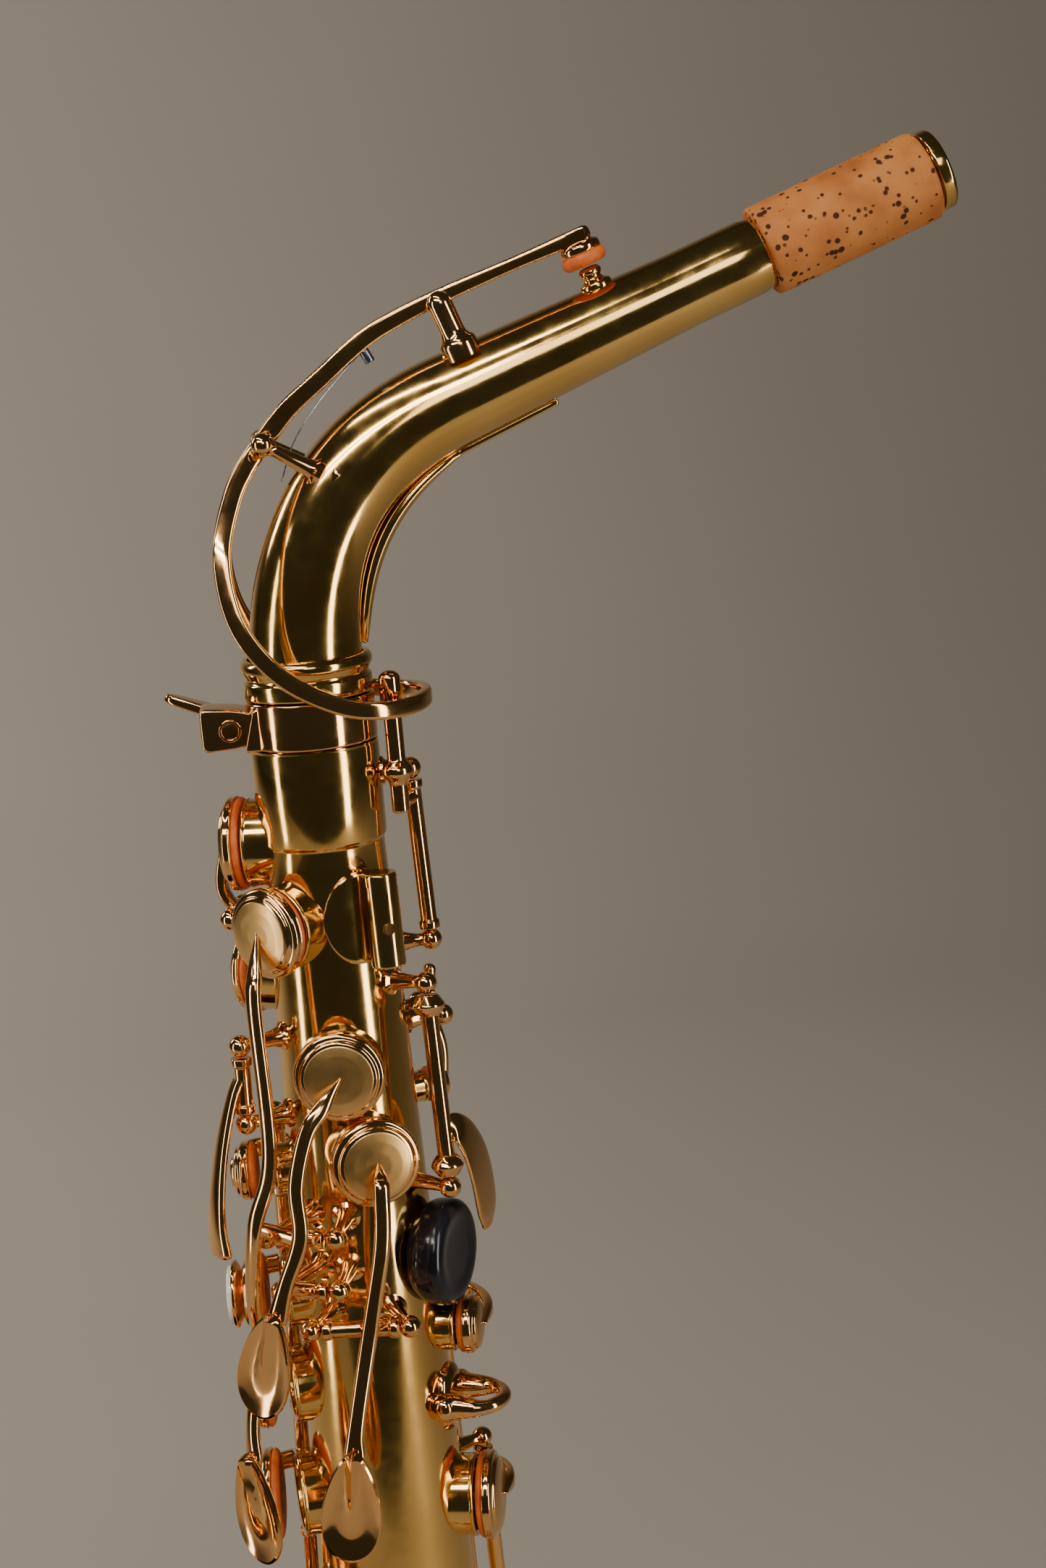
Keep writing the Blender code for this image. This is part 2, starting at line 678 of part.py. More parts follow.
# ------------------------------------------------------------------ fixed pieces of the body
def make_receiver():
    """Clamp band with its split lug, and the wing screw that closes it."""
    ring = turned([(SOCKET_RADIUS, 0.0), (RECEIVER_RADIUS, 0.0), (RECEIVER_RADIUS, -CLAMP_HEIGHT),
                   (SOCKET_RADIUS, -CLAMP_HEIGHT)], steps=32)
    lug = flat_plate([(SOCKET_RADIUS + 0.6, -1.0), (18.5, -1.2), (23.2, -2.2), (24.6, -5.3), (23.0, -8.4),
                      (18.5, -9.4), (SOCKET_RADIUS + 0.6, -9.4)], LUG_WIDTH, Vector(), ACROSS)
    hole = rod(CLAMP_SCREW - ACROSS * 9, CLAMP_SCREW + ACROSS * 9, SCREW_RADIUS + GAP, sides=10)
    slot = block(Vector((-19.7, 0.0, -5.0)), (16.0, 12.0, SLOT_WIDTH), ACROSS)
    finish("receiver_clamp", cut(fuse(ring, lug), slot, hole))

    half = LUG_WIDTH / 2
    shank = rod(CLAMP_SCREW - ACROSS * (half - 0.6), CLAMP_SCREW + ACROSS * 9.0, SCREW_RADIUS)
    collar = rod(CLAMP_SCREW + ACROSS * (half + GAP), CLAMP_SCREW + ACROSS * 9.0, 2.6)
    wing_side = Vector((-math.cos(math.radians(WING_TILT)), 0.0, math.sin(math.radians(WING_TILT))))
    wing = flat_plate([(-2.4, 8.0), (2.4, 8.0), (5.0, 10.5), (9.5, 14.0), (WING_REACH, 16.5), (9.5, 19.0),
                       (-9.5, 19.0), (-WING_REACH, 16.5), (-9.5, 14.0), (-5.0, 10.5)], 2.0,
                      CLAMP_SCREW, ACROSS.cross(wing_side), ACROSS)
    finish("clamp_screw", fuse(shank, collar, wing), pivot=CLAMP_SCREW)


def make_body_tube():
    """Body tube with every chimney, post and bore that the keys asked for."""
    outside = turned([(0.0, BODY_TOP), (RECEIVER_RADIUS, BODY_TOP), (RECEIVER_RADIUS, SLEEVE_BOTTOM),
                      (BODY_RADIUS, SLEEVE_BOTTOM - 0.4), (body_radius(BODY_BOTTOM), BODY_BOTTOM),
                      (0.0, BODY_BOTTOM)], steps=BODY_FACETS)
    bore = turned([(0.0, BODY_TOP + 2), (SOCKET_RADIUS, BODY_TOP + 2), (SOCKET_RADIUS, -SOCKET_DEPTH),
                   (BODY_RADIUS - BODY_WALL, SLEEVE_BOTTOM - 0.4),
                   (body_radius(BODY_BOTTOM - 2) - BODY_WALL, BODY_BOTTOM - 2), (0.0, BODY_BOTTOM - 2)],
                  steps=BODY_FACETS)
    finish("body_tube", cut(fuse(outside, *BODY_FEATURES), bore, *BODY_BORES))


def bow_solid(extra=0.0, past=0.0):
    """Outside of the bow grown by a clearance, and carried past both ends when it is a bore."""
    turns = [180 * step / 9 for step in range(10)]
    points = [UP * (BOW_START + past)] + [bow_point(turn) for turn in turns]
    points.append(points[-1] + UP * (BOW_STUB + past))
    radii = [bow_radius(0)] + [bow_radius(turn) for turn in turns] + [bow_radius(180)]
    return bar(points, BOW_RADII[0], 7, [radius + extra for radius in radii])


def make_bow():
    """Bow from the body to the bell, and the two rings over its joints."""
    finish("bow", cut(fuse(bow_solid(), *BOW_FEATURES), bow_solid(-BELL_WALL, 2.0), *BOW_BORES))
    for name, centre, radius in (("bow_ring_body", UP * (BOW_START + GAP), bow_radius(0) + 0.4),
                                 ("bow_ring_bell", bell_centre(BOW_LEVEL), bow_radius(180) + 1.1)):
        finish(name, turned([(radius, 5.0), (radius + 1.6, 5.0), (radius + 1.6, -5.0), (radius, -5.0)], centre,
                            steps=32))


def make_bell():
    """Bell, turned about its own leaning axis, with a rolled rim."""
    foot = BOW_STUB + GAP + BELL_RADIUS * BELL_LEAN
    heights = [foot, 110, 165, 200, 225, 240, BELL_HEIGHT]
    outer = [(bell_radius(BOW_LEVEL + height), height) for height in heights][::-1]
    bead = [(outer[0][0] - BELL_WALL + RIM_BEAD * (1 + math.sin(math.radians(a))) * 0.5 + 0.4,
             BELL_HEIGHT + RIM_BEAD * math.cos(math.radians(a))) for a in (-60, 30, 120)]
    inner = [(radius - BELL_WALL, height) for radius, height in outer[1:]][::-1]
    axis = (UP - PLAYER * BELL_LEAN).normalized()
    shell = turned(bead + outer[1:] + inner, bell_centre(BOW_LEVEL), axis, 28)
    inside = turned([(0.0, BELL_HEIGHT - 10)] + [(radius - BELL_WALL, height) for radius, height in outer[2:]]
                    + [(0.0, foot)], bell_centre(BOW_LEVEL), axis, 28)
    finish("bell", cut(fuse(shell, *BELL_FEATURES), inside, *BELL_BORES))


def make_bell_brace():
    """Ring on two feet between the body and the bell."""
    height = -266.0
    near = on_body(180, height, GAP)
    far = on_bell(0, height, 1.2)
    middle = (near + far) / 2
    ring = turned([(6.0 - 2.0, 1.6), (6.0 + 1.6, 1.6), (6.0 + 1.6, -1.6), (6.0 - 2.0, -1.6)], middle, UP, 16)
    feet = [rod(near, middle + PLAYER * 5.6, 3.2, 2.2), rod(far, middle - PLAYER * 5.6, 3.2, 2.2)]
    finish("bell_brace", fuse(ring, *feet))


def make_fittings():
    """Strap ring, thumb rest, thumb hook, lyre holder and the guards over the low cups."""
    outward = radial(STRAP_ANGLE)
    side = UP.cross(outward)
    foot = on_body(STRAP_ANGLE, STRAP_HEIGHT)
    hole = strap_hole()
    arc = [hole + outward * STRAP_BOW_RADIUS * math.sin(math.radians(a)) + side * STRAP_BOW_RADIUS
           * math.cos(math.radians(a)) for a in range(-10, 191, 20)]
    root = foot + outward * (GAP + STRAP_FOOT / 2)
    loop = bar([root + side * 3.4] + arc + [root - side * 3.4], STRAP_WIRE)
    finish("strap_ring", fuse(loop, rod(foot + outward * (GAP + 0.4), foot + outward * (GAP + STRAP_FOOT + 1.2),
                                        5.2, 4.2, sides=12)))

    rest = UP * THUMB_REST_HEIGHT
    near = body_radius(THUMB_REST_HEIGHT) + GAP
    finish("thumb_rest", turned([(0.0, near + 6.6), (8.0, near + 6.9), (10.4, near + 6.4), (11.5, near + 5.2),
                                 (11.5, near + 2.6), (9.5, near), (0.0, near)], rest, radial(THUMB_REST_ANGLE),
                                20), PLASTIC)

    hook_angle, hook_height = 352.0, -318.0
    plate = block(on_body(hook_angle, hook_height, 1.6), (11.0, 26.0, 2.2), radial(hook_angle))
    hook = bar([on_body(hook_angle, hook_height + 3, 2.0), on_body(hook_angle, hook_height + 3, 8.0),
                on_body(hook_angle, hook_height + 1, 14.0), on_body(hook_angle, hook_height - 4, 18.0),
                on_body(hook_angle, hook_height - 11, 19.0)], 3.2)
    finish("thumb_hook", fuse(plate, hook))

    angle, top, bottom = 306.0, -36.0, -56.0
    socket = rod(on_body(angle, top, 4.6), on_body(angle, bottom, 4.6), 3.6, sides=12)
    flange = cut(block(on_body(angle - 14, (top + bottom) / 2, 1.0), (16.0, 17.0, 1.4), radial(angle - 14)),
                 turned([(0.0, top + 9), (body_radius(bottom) + 0.5, top + 9),
                         (body_radius(bottom) + 0.5, bottom - 9), (0.0, bottom - 9)], steps=32))
    holder = cut(fuse(socket, flange),
                 block(on_body(angle, (top + bottom) / 2, 4.6), (3.4, 30.0, 3.4), radial(angle)),
                 rod(on_body(angle, -47.4, 4.6), on_body(angle, -47.4, 12.0), 1.4))
    finish("lyre_holder", holder)


def guard(name, feet, crest, tube=None):
    """Flat rail over low cups, on feet that stand on the tube.

    Feet are pairs of a point on the surface and the direction out of it. A tube given as a solid cuts
    the feet to its shape.
    """
    tops = [foot + outward * crest for foot, outward in feet]
    rail = bar([tops[0]] + tops[1:], 2.2)
    legs = [rod(foot + outward * GAP * 3, foot + outward * (crest + 0.5), 3.4, 1.8) for foot, outward in feet]
    whole = fuse(rail, *legs)
    finish(name, cut(whole, tube) if tube else whole)


# ------------------------------------------------------------------ keys of the left hand
def teardrop():
    """Outline of a palm touch, pointed at the arm's end."""
    points = []
    for step in range(12):
        turn = math.radians(30 * step)
        points.append((TOUCH_WIDTH / 2 * math.sin(turn) * (1 - 0.25 * math.cos(turn)),
                       TOUCH_LENGTH / 2 * math.cos(turn)))
    return points


def palm_key(name, hole, balls, lug, route, touch, facing_angle, lug_place):
    """Palm key: cup, long arm over a crosswise hinge, and a teardrop touch.

    Balls are the heads of the two posts, route the arm's points between cup and touch, and lug joins
    the hinge tube to the arm's point of index lug_place.
    """
    right, left = (Vector(place) for place in balls)
    axis = (left - right).normalized()
    inset = axis * (BALL_RADIUS + GAP)
    hinge = Hinge(right + inset, left - inset)
    points = [hole.above(GAP + CUP_DEPTH + 0.4)] + [Vector(place) for place in route]
    centre = Vector(touch)
    points.append(centre + (points[-1] - centre).normalized() * TOUCH_LENGTH * 0.35)
    outward = radial(facing_angle)
    along = points[-2] - centre
    plate = flat_plate(teardrop(), 2.4, centre, outward, along.normalized())
    build_key(name, hinge, [hole.cup(), bar(points, ARM), plate,
                            rod(hinge.at(lug), points[lug_place], ARM, sides=6)])


def make_palm_keys():
    """The three palm keys, from the top of the body down."""
    palm_key("palm_f_key", body_hole(224, -46.7, 7.6), [(-6.3, -26.6, -109.6), (-20.5, -21.3, -109.6)], 0.75,
             [(-18.0, -20.5, -61.0), (-18.0, -24.0, -91.0), (-22.5, -26.5, -105.0), (-24.5, -23.5, -121.0),
              (-24.5, -19.5, -134.0), (-27.5, -22.0, -150.0)], (-28.7, -25.5, -168.0), 222, 3)
    palm_key("palm_e_flat_key", body_hole(264, -77.0, 7.6), [(-6.6, -26.8, -121.0), (-18.6, -23.4, -121.0)], 0.5,
             [(-10.0, -27.0, -86.0), (-13.2, -29.5, -96.0), (-13.5, -30.5, -107.0), (-17.5, -30.5, -117.0)],
             (-23.4, -30.0, -134.0), 233, 4)
    palm_key("palm_d_key", body_hole(280, -96.4, 7.6), [(-13.4, -22.3, -131.0), (7.3, -24.9, -131.7)], 0.6,
             [(4.0, -27.0, -101.0), (2.9, -29.0, -112.0), (-1.4, -30.0, -130.0), (-6.0, -33.5, -148.0)],
             (-8.8, -37.0, -164.5), 258, 3)


def make_octave_keys():
    """Thumb lever, the pin that works the neck's loop, and the vent key on the body."""
    top, bottom = Vector((17.9, -12.8, -61.1)), Vector((18.8, -18.0, -104.6))
    inset = (bottom - top).normalized() * (BALL_RADIUS + GAP)
    thumb = Hinge(top + inset, bottom - inset)
    lever = bar([thumb.at(0.86), Vector((23.6, -15.6, -97.5)), Vector((26.0, -12.4, -103.5)),
                 Vector((27.0, -10.0, -113.5))], 2.2)
    build_key("octave_thumb_lever", thumb, [lever, rod(thumb.at(0.02), thumb.at(0.08), 3.0)])

    pin_hinge = Hinge(Vector((19.5, -1.0, -20.0)), Vector((20.5, -1.0, -52.5)))
    foot = Vector((PIN.x, PIN.y, -23.5))
    build_key("octave_pin_key", pin_hinge, [rod(foot - UP * 2.2, PIN, 2.0), ball(PIN, 2.0),
                                            bar([pin_hinge.at(0.11), foot], 1.6),
                                            rod(PIN - UP * 17.8, PIN - UP * 20.2, 3.0)])

    vent = body_hole(22, -90.0, 2.2)
    hinge = crosswise_hinge(22, -73.0, 7.0)
    build_key("body_octave_key", hinge, [vent.cup(), bar([vent.above(GAP + CUP_DEPTH - 0.4),
                                                         on_body(22, -82.0, 8.6), hinge.at(0.5),
                                                         on_body(22, -64.0, 8.0)], ARM)])


def make_high_keys():
    """High F sharp and high E cups at the top, and the long side keys down the right of the body."""
    hole = body_hole(167, -31.0, 8.1)
    hinge = crosswise_hinge(167, -46.0, 7.0)
    build_key("high_f_sharp_key", hinge, [hole.cup(), bar([hole.above(GAP + CUP_DEPTH + 0.3),
                                                          on_body(167, -40.0, 9.6), hinge.at(0.5)], ARM)])
    for name, angle, height, bore, rod_angle, rod_top, rod_bottom, touch_height, arm_lifts in SIDE_KEYS:
        hole = body_hole(angle, height, bore)
        hinge = lengthwise_hinge(rod_angle, rod_top, rod_bottom, 8.0)
        reach = around_body(rod_angle, angle, height, arm_lifts)
        arm = bar(reach[:-1] + [hole.above(GAP + CUP_DEPTH)], ARM)
        outward = radial(rod_angle - 16)
        centre = on_body(rod_angle - 16, touch_height, 17.0)
        plate = block(centre, (12.0, 22.0, 2.6), outward)
        stalk = bar([on_body(rod_angle, rod_bottom + 6, 8.0), on_body(rod_angle - 8, rod_bottom - 2, 13.0),
                     centre], 1.8)
        build_key(name, hinge, [hole.cup(), arm, plate, stalk])


def make_stack(keys, rod_angle, cup_angle):
    """Row of open keys over one line of hinge tubes: each is a cup, an arm round the body and a pearl."""
    for name, height, bore, top, bottom, posts, pearl in keys:
        hole = body_hole(cup_angle, height, bore)
        hinge = lengthwise_hinge(rod_angle, top, bottom, posts=posts)
        lifts = (HINGE_LIFT, 10.2, 8.4, 8.2)
        arm = bar(around_body(rod_angle, cup_angle, height, lifts)[:-1]
                  + [hole.above(GAP + CUP_DEPTH - 0.2)], 1.7)
        pieces = [hole.cup(), arm] + ([hole.pearl_seat()] if pearl else [])
        swing = hinge.open_turn(hole.above(0), hole.outward, STACK_OPENING)
        key = build_key(name + "_key", hinge, pieces, swing)
        if pearl:
            finish(name + "_pearl", hole.pearl(), PEARL, hinge.middle(), key, hinge.middle())


def make_front_f_lever():
    """Front F lever beside the first finger's pearl."""
    hinge = Hinge(Vector((-22.0, -9.0, -74.0)), Vector((-22.3, -9.2, -86.0)))
    arm = bar([hinge.at(0.3), Vector((-26.5, -11.0, -88.0)), Vector((-29.5, -14.0, -99.0)),
               Vector((-30.5, -15.5, -109.0))], 1.9)
    outward = radial(207)
    plate = turned([(0.0, 2.6), (4.4, 2.6), (5.2, 1.6), (5.2, 0.0), (0.0, 0.0)],
                   Vector((-30.2, -15.4, -112.0)) - outward * 1.2, outward, 12)
    build_key("front_f_lever", hinge, [arm, plate])


def make_little_finger_keys():
    """G sharp with its touch, and the three low keys that reach from the table to the bell."""
    hole = body_hole(205, -246.0, 9.6)
    hinge = lengthwise_hinge(246, -239.0, -252.0)
    arm = bar(around_body(246, 205, -246.0, (7.0, 9.5, 9.5, 8.2))[:-1] + [hole.above(GAP + CUP_DEPTH)], 1.7)
    build_key("g_sharp_key", hinge, [hole.cup(), arm])

    touch = lengthwise_hinge(262, -212.0, -226.0)
    stalk = bar([touch.at(0.6), on_body(252, -226.0, 14.0), on_body(244, -230.0, 22.0)], 1.8)
    plate = block(on_body(242, -231.0, 23.0), (20.0, 10.0, 2.4), radial(242))
    build_key("g_sharp_touch", touch, [stalk, plate])

    for name, rod_angle, bottom, cup_height, bore, table_angle, table_height, swing in LOW_BELL_KEYS:
        hole = bell_hole(270, cup_height, bore)
        hinge = lengthwise_hinge(rod_angle, LOW_ROD_TOP, bottom)
        start = on_body(rod_angle, cup_height, HINGE_LIFT)
        lid = hole.above(GAP + CUP_DEPTH)
        arm = bar([start, on_body(rod_angle - 8, cup_height, 15.0) - PLAYER * 3,
                   Vector((lid.x + 36, lid.y - 3.0, cup_height)), lid - ACROSS * 1.0, lid + ACROSS * 1.0], 2.0)
        centre = on_body(table_angle, table_height, 23.0)
        plate = block(centre, (20.0, 10.0, 2.4), radial(table_angle))
        middle = on_body((rod_angle + table_angle) / 2, LOW_ROD_TOP - 6.0, 15.0)
        stalk = bar([hinge.at(0.03), middle, centre.lerp(middle, 0.15)], 1.8)
        turn = hinge.open_turn(hole.above(0), hole.outward, swing) if swing else None
        build_key(name, hinge, [hole.cup(), arm, plate, stalk], turn)


def make_low_keys():
    """E flat on the body and low C on the bow, worked by the right little finger."""
    hole = body_hole(95, -440.0, 11.6)
    hinge = lengthwise_hinge(58, -402.0, -452.0, 8.0)
    arm = bar(around_body(58, 95, -440.0, (8.0, 10.5, 9.8, 8.2))[:-1] + [hole.above(GAP + CUP_DEPTH)], 1.8)
    stalk = bar([hinge.at(0.1), on_body(48, -405.0, 14.0), on_body(36, -405.0, 20.0)], 1.9)
    build_key("low_e_flat_key", hinge, [hole.cup(), arm, stalk,
                                        block(on_body(34, -405.0, 21.0), (20.0, 11.0, 2.6), radial(34))])

    centre = bow_point(LOW_C_TURN)
    hole = ToneHole(centre, ACROSS, bow_radius(LOW_C_TURN), 15.5, BOW_FEATURES, BOW_BORES, 14.0)
    hinge = lengthwise_hinge(38, -420.0, -458.0, 8.0)
    lid = hole.above(GAP + CUP_DEPTH)
    arm = bar([hinge.at(0.9), on_body(50, -462.0, 14.0), Vector((14.0, 38.5, -478.0)),
               lid + ACROSS * 1.2, lid - ACROSS], 2.0)
    stalk = bar([hinge.at(0.1), on_body(52, -424.0, 15.5), on_body(70, -424.0, 19.0)], 1.9)
    build_key("low_c_key", hinge,
              [hole.cup(), arm, stalk, block(on_body(74, -422.0, 21.0), (20.0, 11.0, 2.6), radial(74))],
              hinge.open_turn(hole.above(0), ACROSS, 7.0))

    guard("bell_key_guard", [(on_bell(270, height), -ACROSS) for height in (-313.0, -365.5, -414.5)], 22.0)
    guard("low_e_flat_guard", [(on_body(95, height), radial(95)) for height in (-420.5, -459.5)], 18.0)
    span = math.radians(LOW_C_TURN + LOW_C_GUARD_TURN)
    beside = Vector((-math.sin(span), 0.0, -math.cos(span))) * LOW_C_GUARD_REACH
    off_crest = LOW_C_GUARD_REACH * math.sin(math.radians(LOW_C_GUARD_TURN))
    rise = math.sqrt(bow_radius(LOW_C_TURN) ** 2 - off_crest ** 2) - 4.0
    guard("low_c_guard", [(centre + beside * side + ACROSS * rise, ACROSS) for side in (-1, 1)], 31.0,
          bow_solid(GAP))


make_palm_keys()
make_octave_keys()
make_high_keys()
make_stack(UPPER_STACK, 140, 186)
make_stack(LOWER_STACK, 114, 170)
make_front_f_lever()
make_little_finger_keys()
make_low_keys()
make_receiver()
make_body_tube()
make_bow()
make_bell()
make_bell_brace()
make_fittings()
make_neck()
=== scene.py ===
"""Looks of an alto saxophone: lacquered tubes, turned posts, cupped keys with leather pads, cork and pearl.

Lengths are in millimetres on the horn's own axes until a piece is finished: Z runs up the body with zero
at the top of the receiver, +X points at the player and -X at the bell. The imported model's origin is the
middle of the strap ring, so a finished piece is moved there and scaled to metres. Angles are in degrees,
from +X towards +Y.
"""

import enum
import logging
import math
from dataclasses import dataclass, field

import bpy
import numpy as np
from mathutils import Matrix

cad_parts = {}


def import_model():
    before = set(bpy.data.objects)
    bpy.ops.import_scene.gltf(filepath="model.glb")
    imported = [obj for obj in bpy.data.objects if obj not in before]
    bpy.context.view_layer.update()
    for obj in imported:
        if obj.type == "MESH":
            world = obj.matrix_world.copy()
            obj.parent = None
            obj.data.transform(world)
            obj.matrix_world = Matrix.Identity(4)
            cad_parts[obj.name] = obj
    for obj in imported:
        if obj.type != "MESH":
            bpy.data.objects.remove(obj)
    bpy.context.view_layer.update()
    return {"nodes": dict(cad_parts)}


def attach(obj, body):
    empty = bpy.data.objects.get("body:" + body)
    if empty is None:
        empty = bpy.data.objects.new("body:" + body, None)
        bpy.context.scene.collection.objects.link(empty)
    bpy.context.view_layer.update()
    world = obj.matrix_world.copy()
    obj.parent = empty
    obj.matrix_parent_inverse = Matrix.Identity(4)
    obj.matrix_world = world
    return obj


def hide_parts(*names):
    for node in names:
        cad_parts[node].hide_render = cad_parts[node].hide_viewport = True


LOG = logging.getLogger("saxophone")
Array = np.ndarray
X_AXIS = np.array([1.0, 0.0, 0.0])
Y_AXIS = np.array([0.0, 1.0, 0.0])
UP = np.array([0.0, 0.0, 1.0])
GAP = 0.3
ORIGIN = np.zeros(3)
NO_TURN = (UP, 0.0)
STRAP_ANGLE = -22.0
STRAP_HEIGHT = -157.5
STRAP_REACH = 6.8


# ------------------------------------------------------------------ the horn's own shape
def unit(vector: Array) -> Array:
    """Vector, or rows of vectors, at length one."""
    vector = np.asarray(vector, float)
    return vector / np.linalg.norm(vector, axis=-1, keepdims=True)


def radial(angle: float) -> Array:
    """Unit vector out of the body tube at an angle in degrees, from +X towards +Y."""
    return np.array([math.cos(math.radians(angle)), math.sin(math.radians(angle)), 0.0])


@dataclass(frozen=True)
class Bore:
    """Cone of the body tube below its socket, in radius against height."""

    socket_radius: float = 13.5
    socket_foot: float = -30.4
    top_radius: float = 12.8
    taper: float = 0.028
    bottom: float = -470.0

    def radius(self, height: float) -> float:
        """Outside radius at a height: constant on the socket, then growing linearly downwards.

        Args:
            height: height on the tube.

        Returns:
            The radius.
        """
        if height > self.socket_foot:
            return self.socket_radius
        return self.top_radius + self.taper * (self.socket_foot - height)

    def place(self, angle: float, height: float, lift: float = 0.0) -> Array:
        """Point at a distance above the tube's surface."""
        return radial(angle) * (self.radius(height) + lift) + UP * height


@dataclass(frozen=True)
class BellShape:
    """Leaning bell whose radius is a cone plus a fifth power, and the bow that carries it."""

    foot_height: float = -485.0
    length: float = 250.0
    bend: float = 40.0
    lean: float = 0.064
    foot_radius: float = 31.0
    cone: float = 0.055
    flare: float = 16.7
    bow_radius: float = 25.4
    wall: float = 1.0

    def radius(self, height: Array) -> Array:
        """Outside radius at a height: foot + cone * h + flare * (h / length) ** 5."""
        along = height - self.foot_height
        return self.foot_radius + self.cone * along + self.flare * (along / self.length) ** 5

    def centre(self, height: float) -> Array:
        """Point on the leaning axis."""
        return np.array([-2 * self.bend - self.lean * (height - self.foot_height), 0.0, height])

    def place(self, angle: float, height: float, lift: float = 0.0) -> Array:
        """Point at a distance above the bell's surface."""
        return self.centre(height) + radial(angle) * (self.radius(height) + lift)

    def bow_point(self, turn: Array) -> Array:
        """Points on the bow's centre line, a half circle, at turns in degrees from the body's side.

        Args:
            turn: one turn or several.

        Returns:
            Points as rows.
        """
        swing = np.radians(np.atleast_1d(turn).astype(float))
        return np.stack([self.bend * (np.cos(swing) - 1), np.zeros_like(swing),
                         self.foot_height - self.bend * np.sin(swing)], axis=1)

    def bow_size(self, turn: Array) -> Array:
        """Outside radius of the bow, growing linearly with the turn."""
        return self.bow_radius + (self.foot_radius - self.bow_radius) * np.asarray(turn, float) / 180


BODY = Bore()
BELL = BellShape()
STRAP_HOLE = BODY.place(STRAP_ANGLE, STRAP_HEIGHT, STRAP_REACH)


# ------------------------------------------------------------------ surfaces
def circle(sides: int) -> Array:
    """Unit circle as rows of two coordinates."""
    turn = np.linspace(0.0, 2 * np.pi, sides, endpoint=False)
    return np.stack([np.sin(turn), np.cos(turn)], axis=1)


def pillow(width: float, length: float, power: float, sides: int = 48) -> Array:
    """Outline of a plate: a superellipse, sign(c) * |c| ** power, of full width and length."""
    ring = circle(sides)
    return np.sign(ring) * np.abs(ring) ** power * np.array([width / 2, length / 2])


def leaf(width: float, length: float, point: float = 0.28, sides: int = 64) -> Array:
    """Outline of a palm touch: a circle whose width shrinks towards the end that the arm comes from."""
    ring = circle(sides)
    return np.stack([ring[:, 0] * width / 2 * (1 - point * ring[:, 1]), ring[:, 1] * length / 2], axis=1)


def rounded(profile: Array, radius: float, closed: bool = False, steps: int = 4) -> Array:
    """Profile whose corners are replaced by parabolas that start at a distance from each corner.

    Args:
        profile: corners as rows.
        radius: distance from a corner at which its curve starts, at most 45% of each side.
        closed: whether the last corner joins the first.
        steps: points in each curve, less one.

    Returns:
        The rounded profile as rows.
    """
    points = np.asarray(profile, float)
    before = np.roll(points, 1, axis=0)
    after = np.roll(points, -1, axis=0)
    back, ahead = before - points, after - points
    reach_back = np.minimum(radius, 0.45 * np.linalg.norm(back, axis=1))[:, None]
    reach_ahead = np.minimum(radius, 0.45 * np.linalg.norm(ahead, axis=1))[:, None]
    start = points + back / np.maximum(np.linalg.norm(back, axis=1), 1e-9)[:, None] * reach_back
    end = points + ahead / np.maximum(np.linalg.norm(ahead, axis=1), 1e-9)[:, None] * reach_ahead
    t = np.linspace(0.0, 1.0, steps + 1)[None, :, None]
    curves = start[:, None] * (1 - t) ** 2 + points[:, None] * 2 * t * (1 - t) + end[:, None] * t ** 2
    if closed:
        return curves.reshape(-1, points.shape[1])
    inner = curves[1:-1].reshape(-1, points.shape[1])
    return np.vstack([points[:1], inner, points[-1:]])


def smooth(points: Array, per: int = 10) -> Array:
    """Catmull-Rom curve through points: a cubic in each span whose slopes are half the neighbours' span.

    Args:
        points: rows that the curve passes through.
        per: points to each span.

    Returns:
        The curve as rows.
    """
    points = np.asarray(points, float)
    if len(points) == 2:
        t = np.linspace(0.0, 1.0, per + 1)[:, None]
        return points[0] * (1 - t) + points[1] * t
    padded = np.vstack([2 * points[0] - points[1], points, 2 * points[-1] - points[-2]])
    a, b, c, d = padded[:-3, None], padded[1:-2, None], padded[2:-1, None], padded[3:, None]
    t = np.linspace(0.0, 1.0, per, endpoint=False)[None, :, None]
    curve = 0.5 * (2 * b + (c - a) * t + (2 * a - 5 * b + 4 * c - d) * t ** 2
                   + (3 * b - a - 3 * c + d) * t ** 3)
    return np.vstack([curve.reshape(-1, points.shape[1]), points[-1:]])


def lathe(profile: Array, centre: Array, outward: Array, along: Array = UP, outline: Array | None = None,
          sides: int = 48) -> Array:
    """Surface of a profile carried round an outline.

    A row's points are centre + radius * (u * side + v * along) + height * outward, where (u, v) runs over
    the outline and (radius, height) over the profile.

    Args:
        profile: rows of radius and height.
        centre: point from which heights are measured.
        outward: direction of height.
        along: direction of the outline's second coordinate.
        outline: rows of two coordinates, a unit circle if left out.
        sides: points round the circle.

    Returns:
        Grid of points, one row for each profile point.
    """
    ring = circle(sides) if outline is None else outline
    outward = unit(outward)
    if abs(float(outward @ unit(along))) > 0.98:
        along = X_AXIS
    along = unit(along - outward * float(outward @ along))
    side = np.cross(along, outward)
    flat = ring[:, :1] * side + ring[:, 1:] * along
    profile = np.asarray(profile, float)
    return centre + profile[:, :1, None] * flat[None] + profile[:, 1:, None] * outward


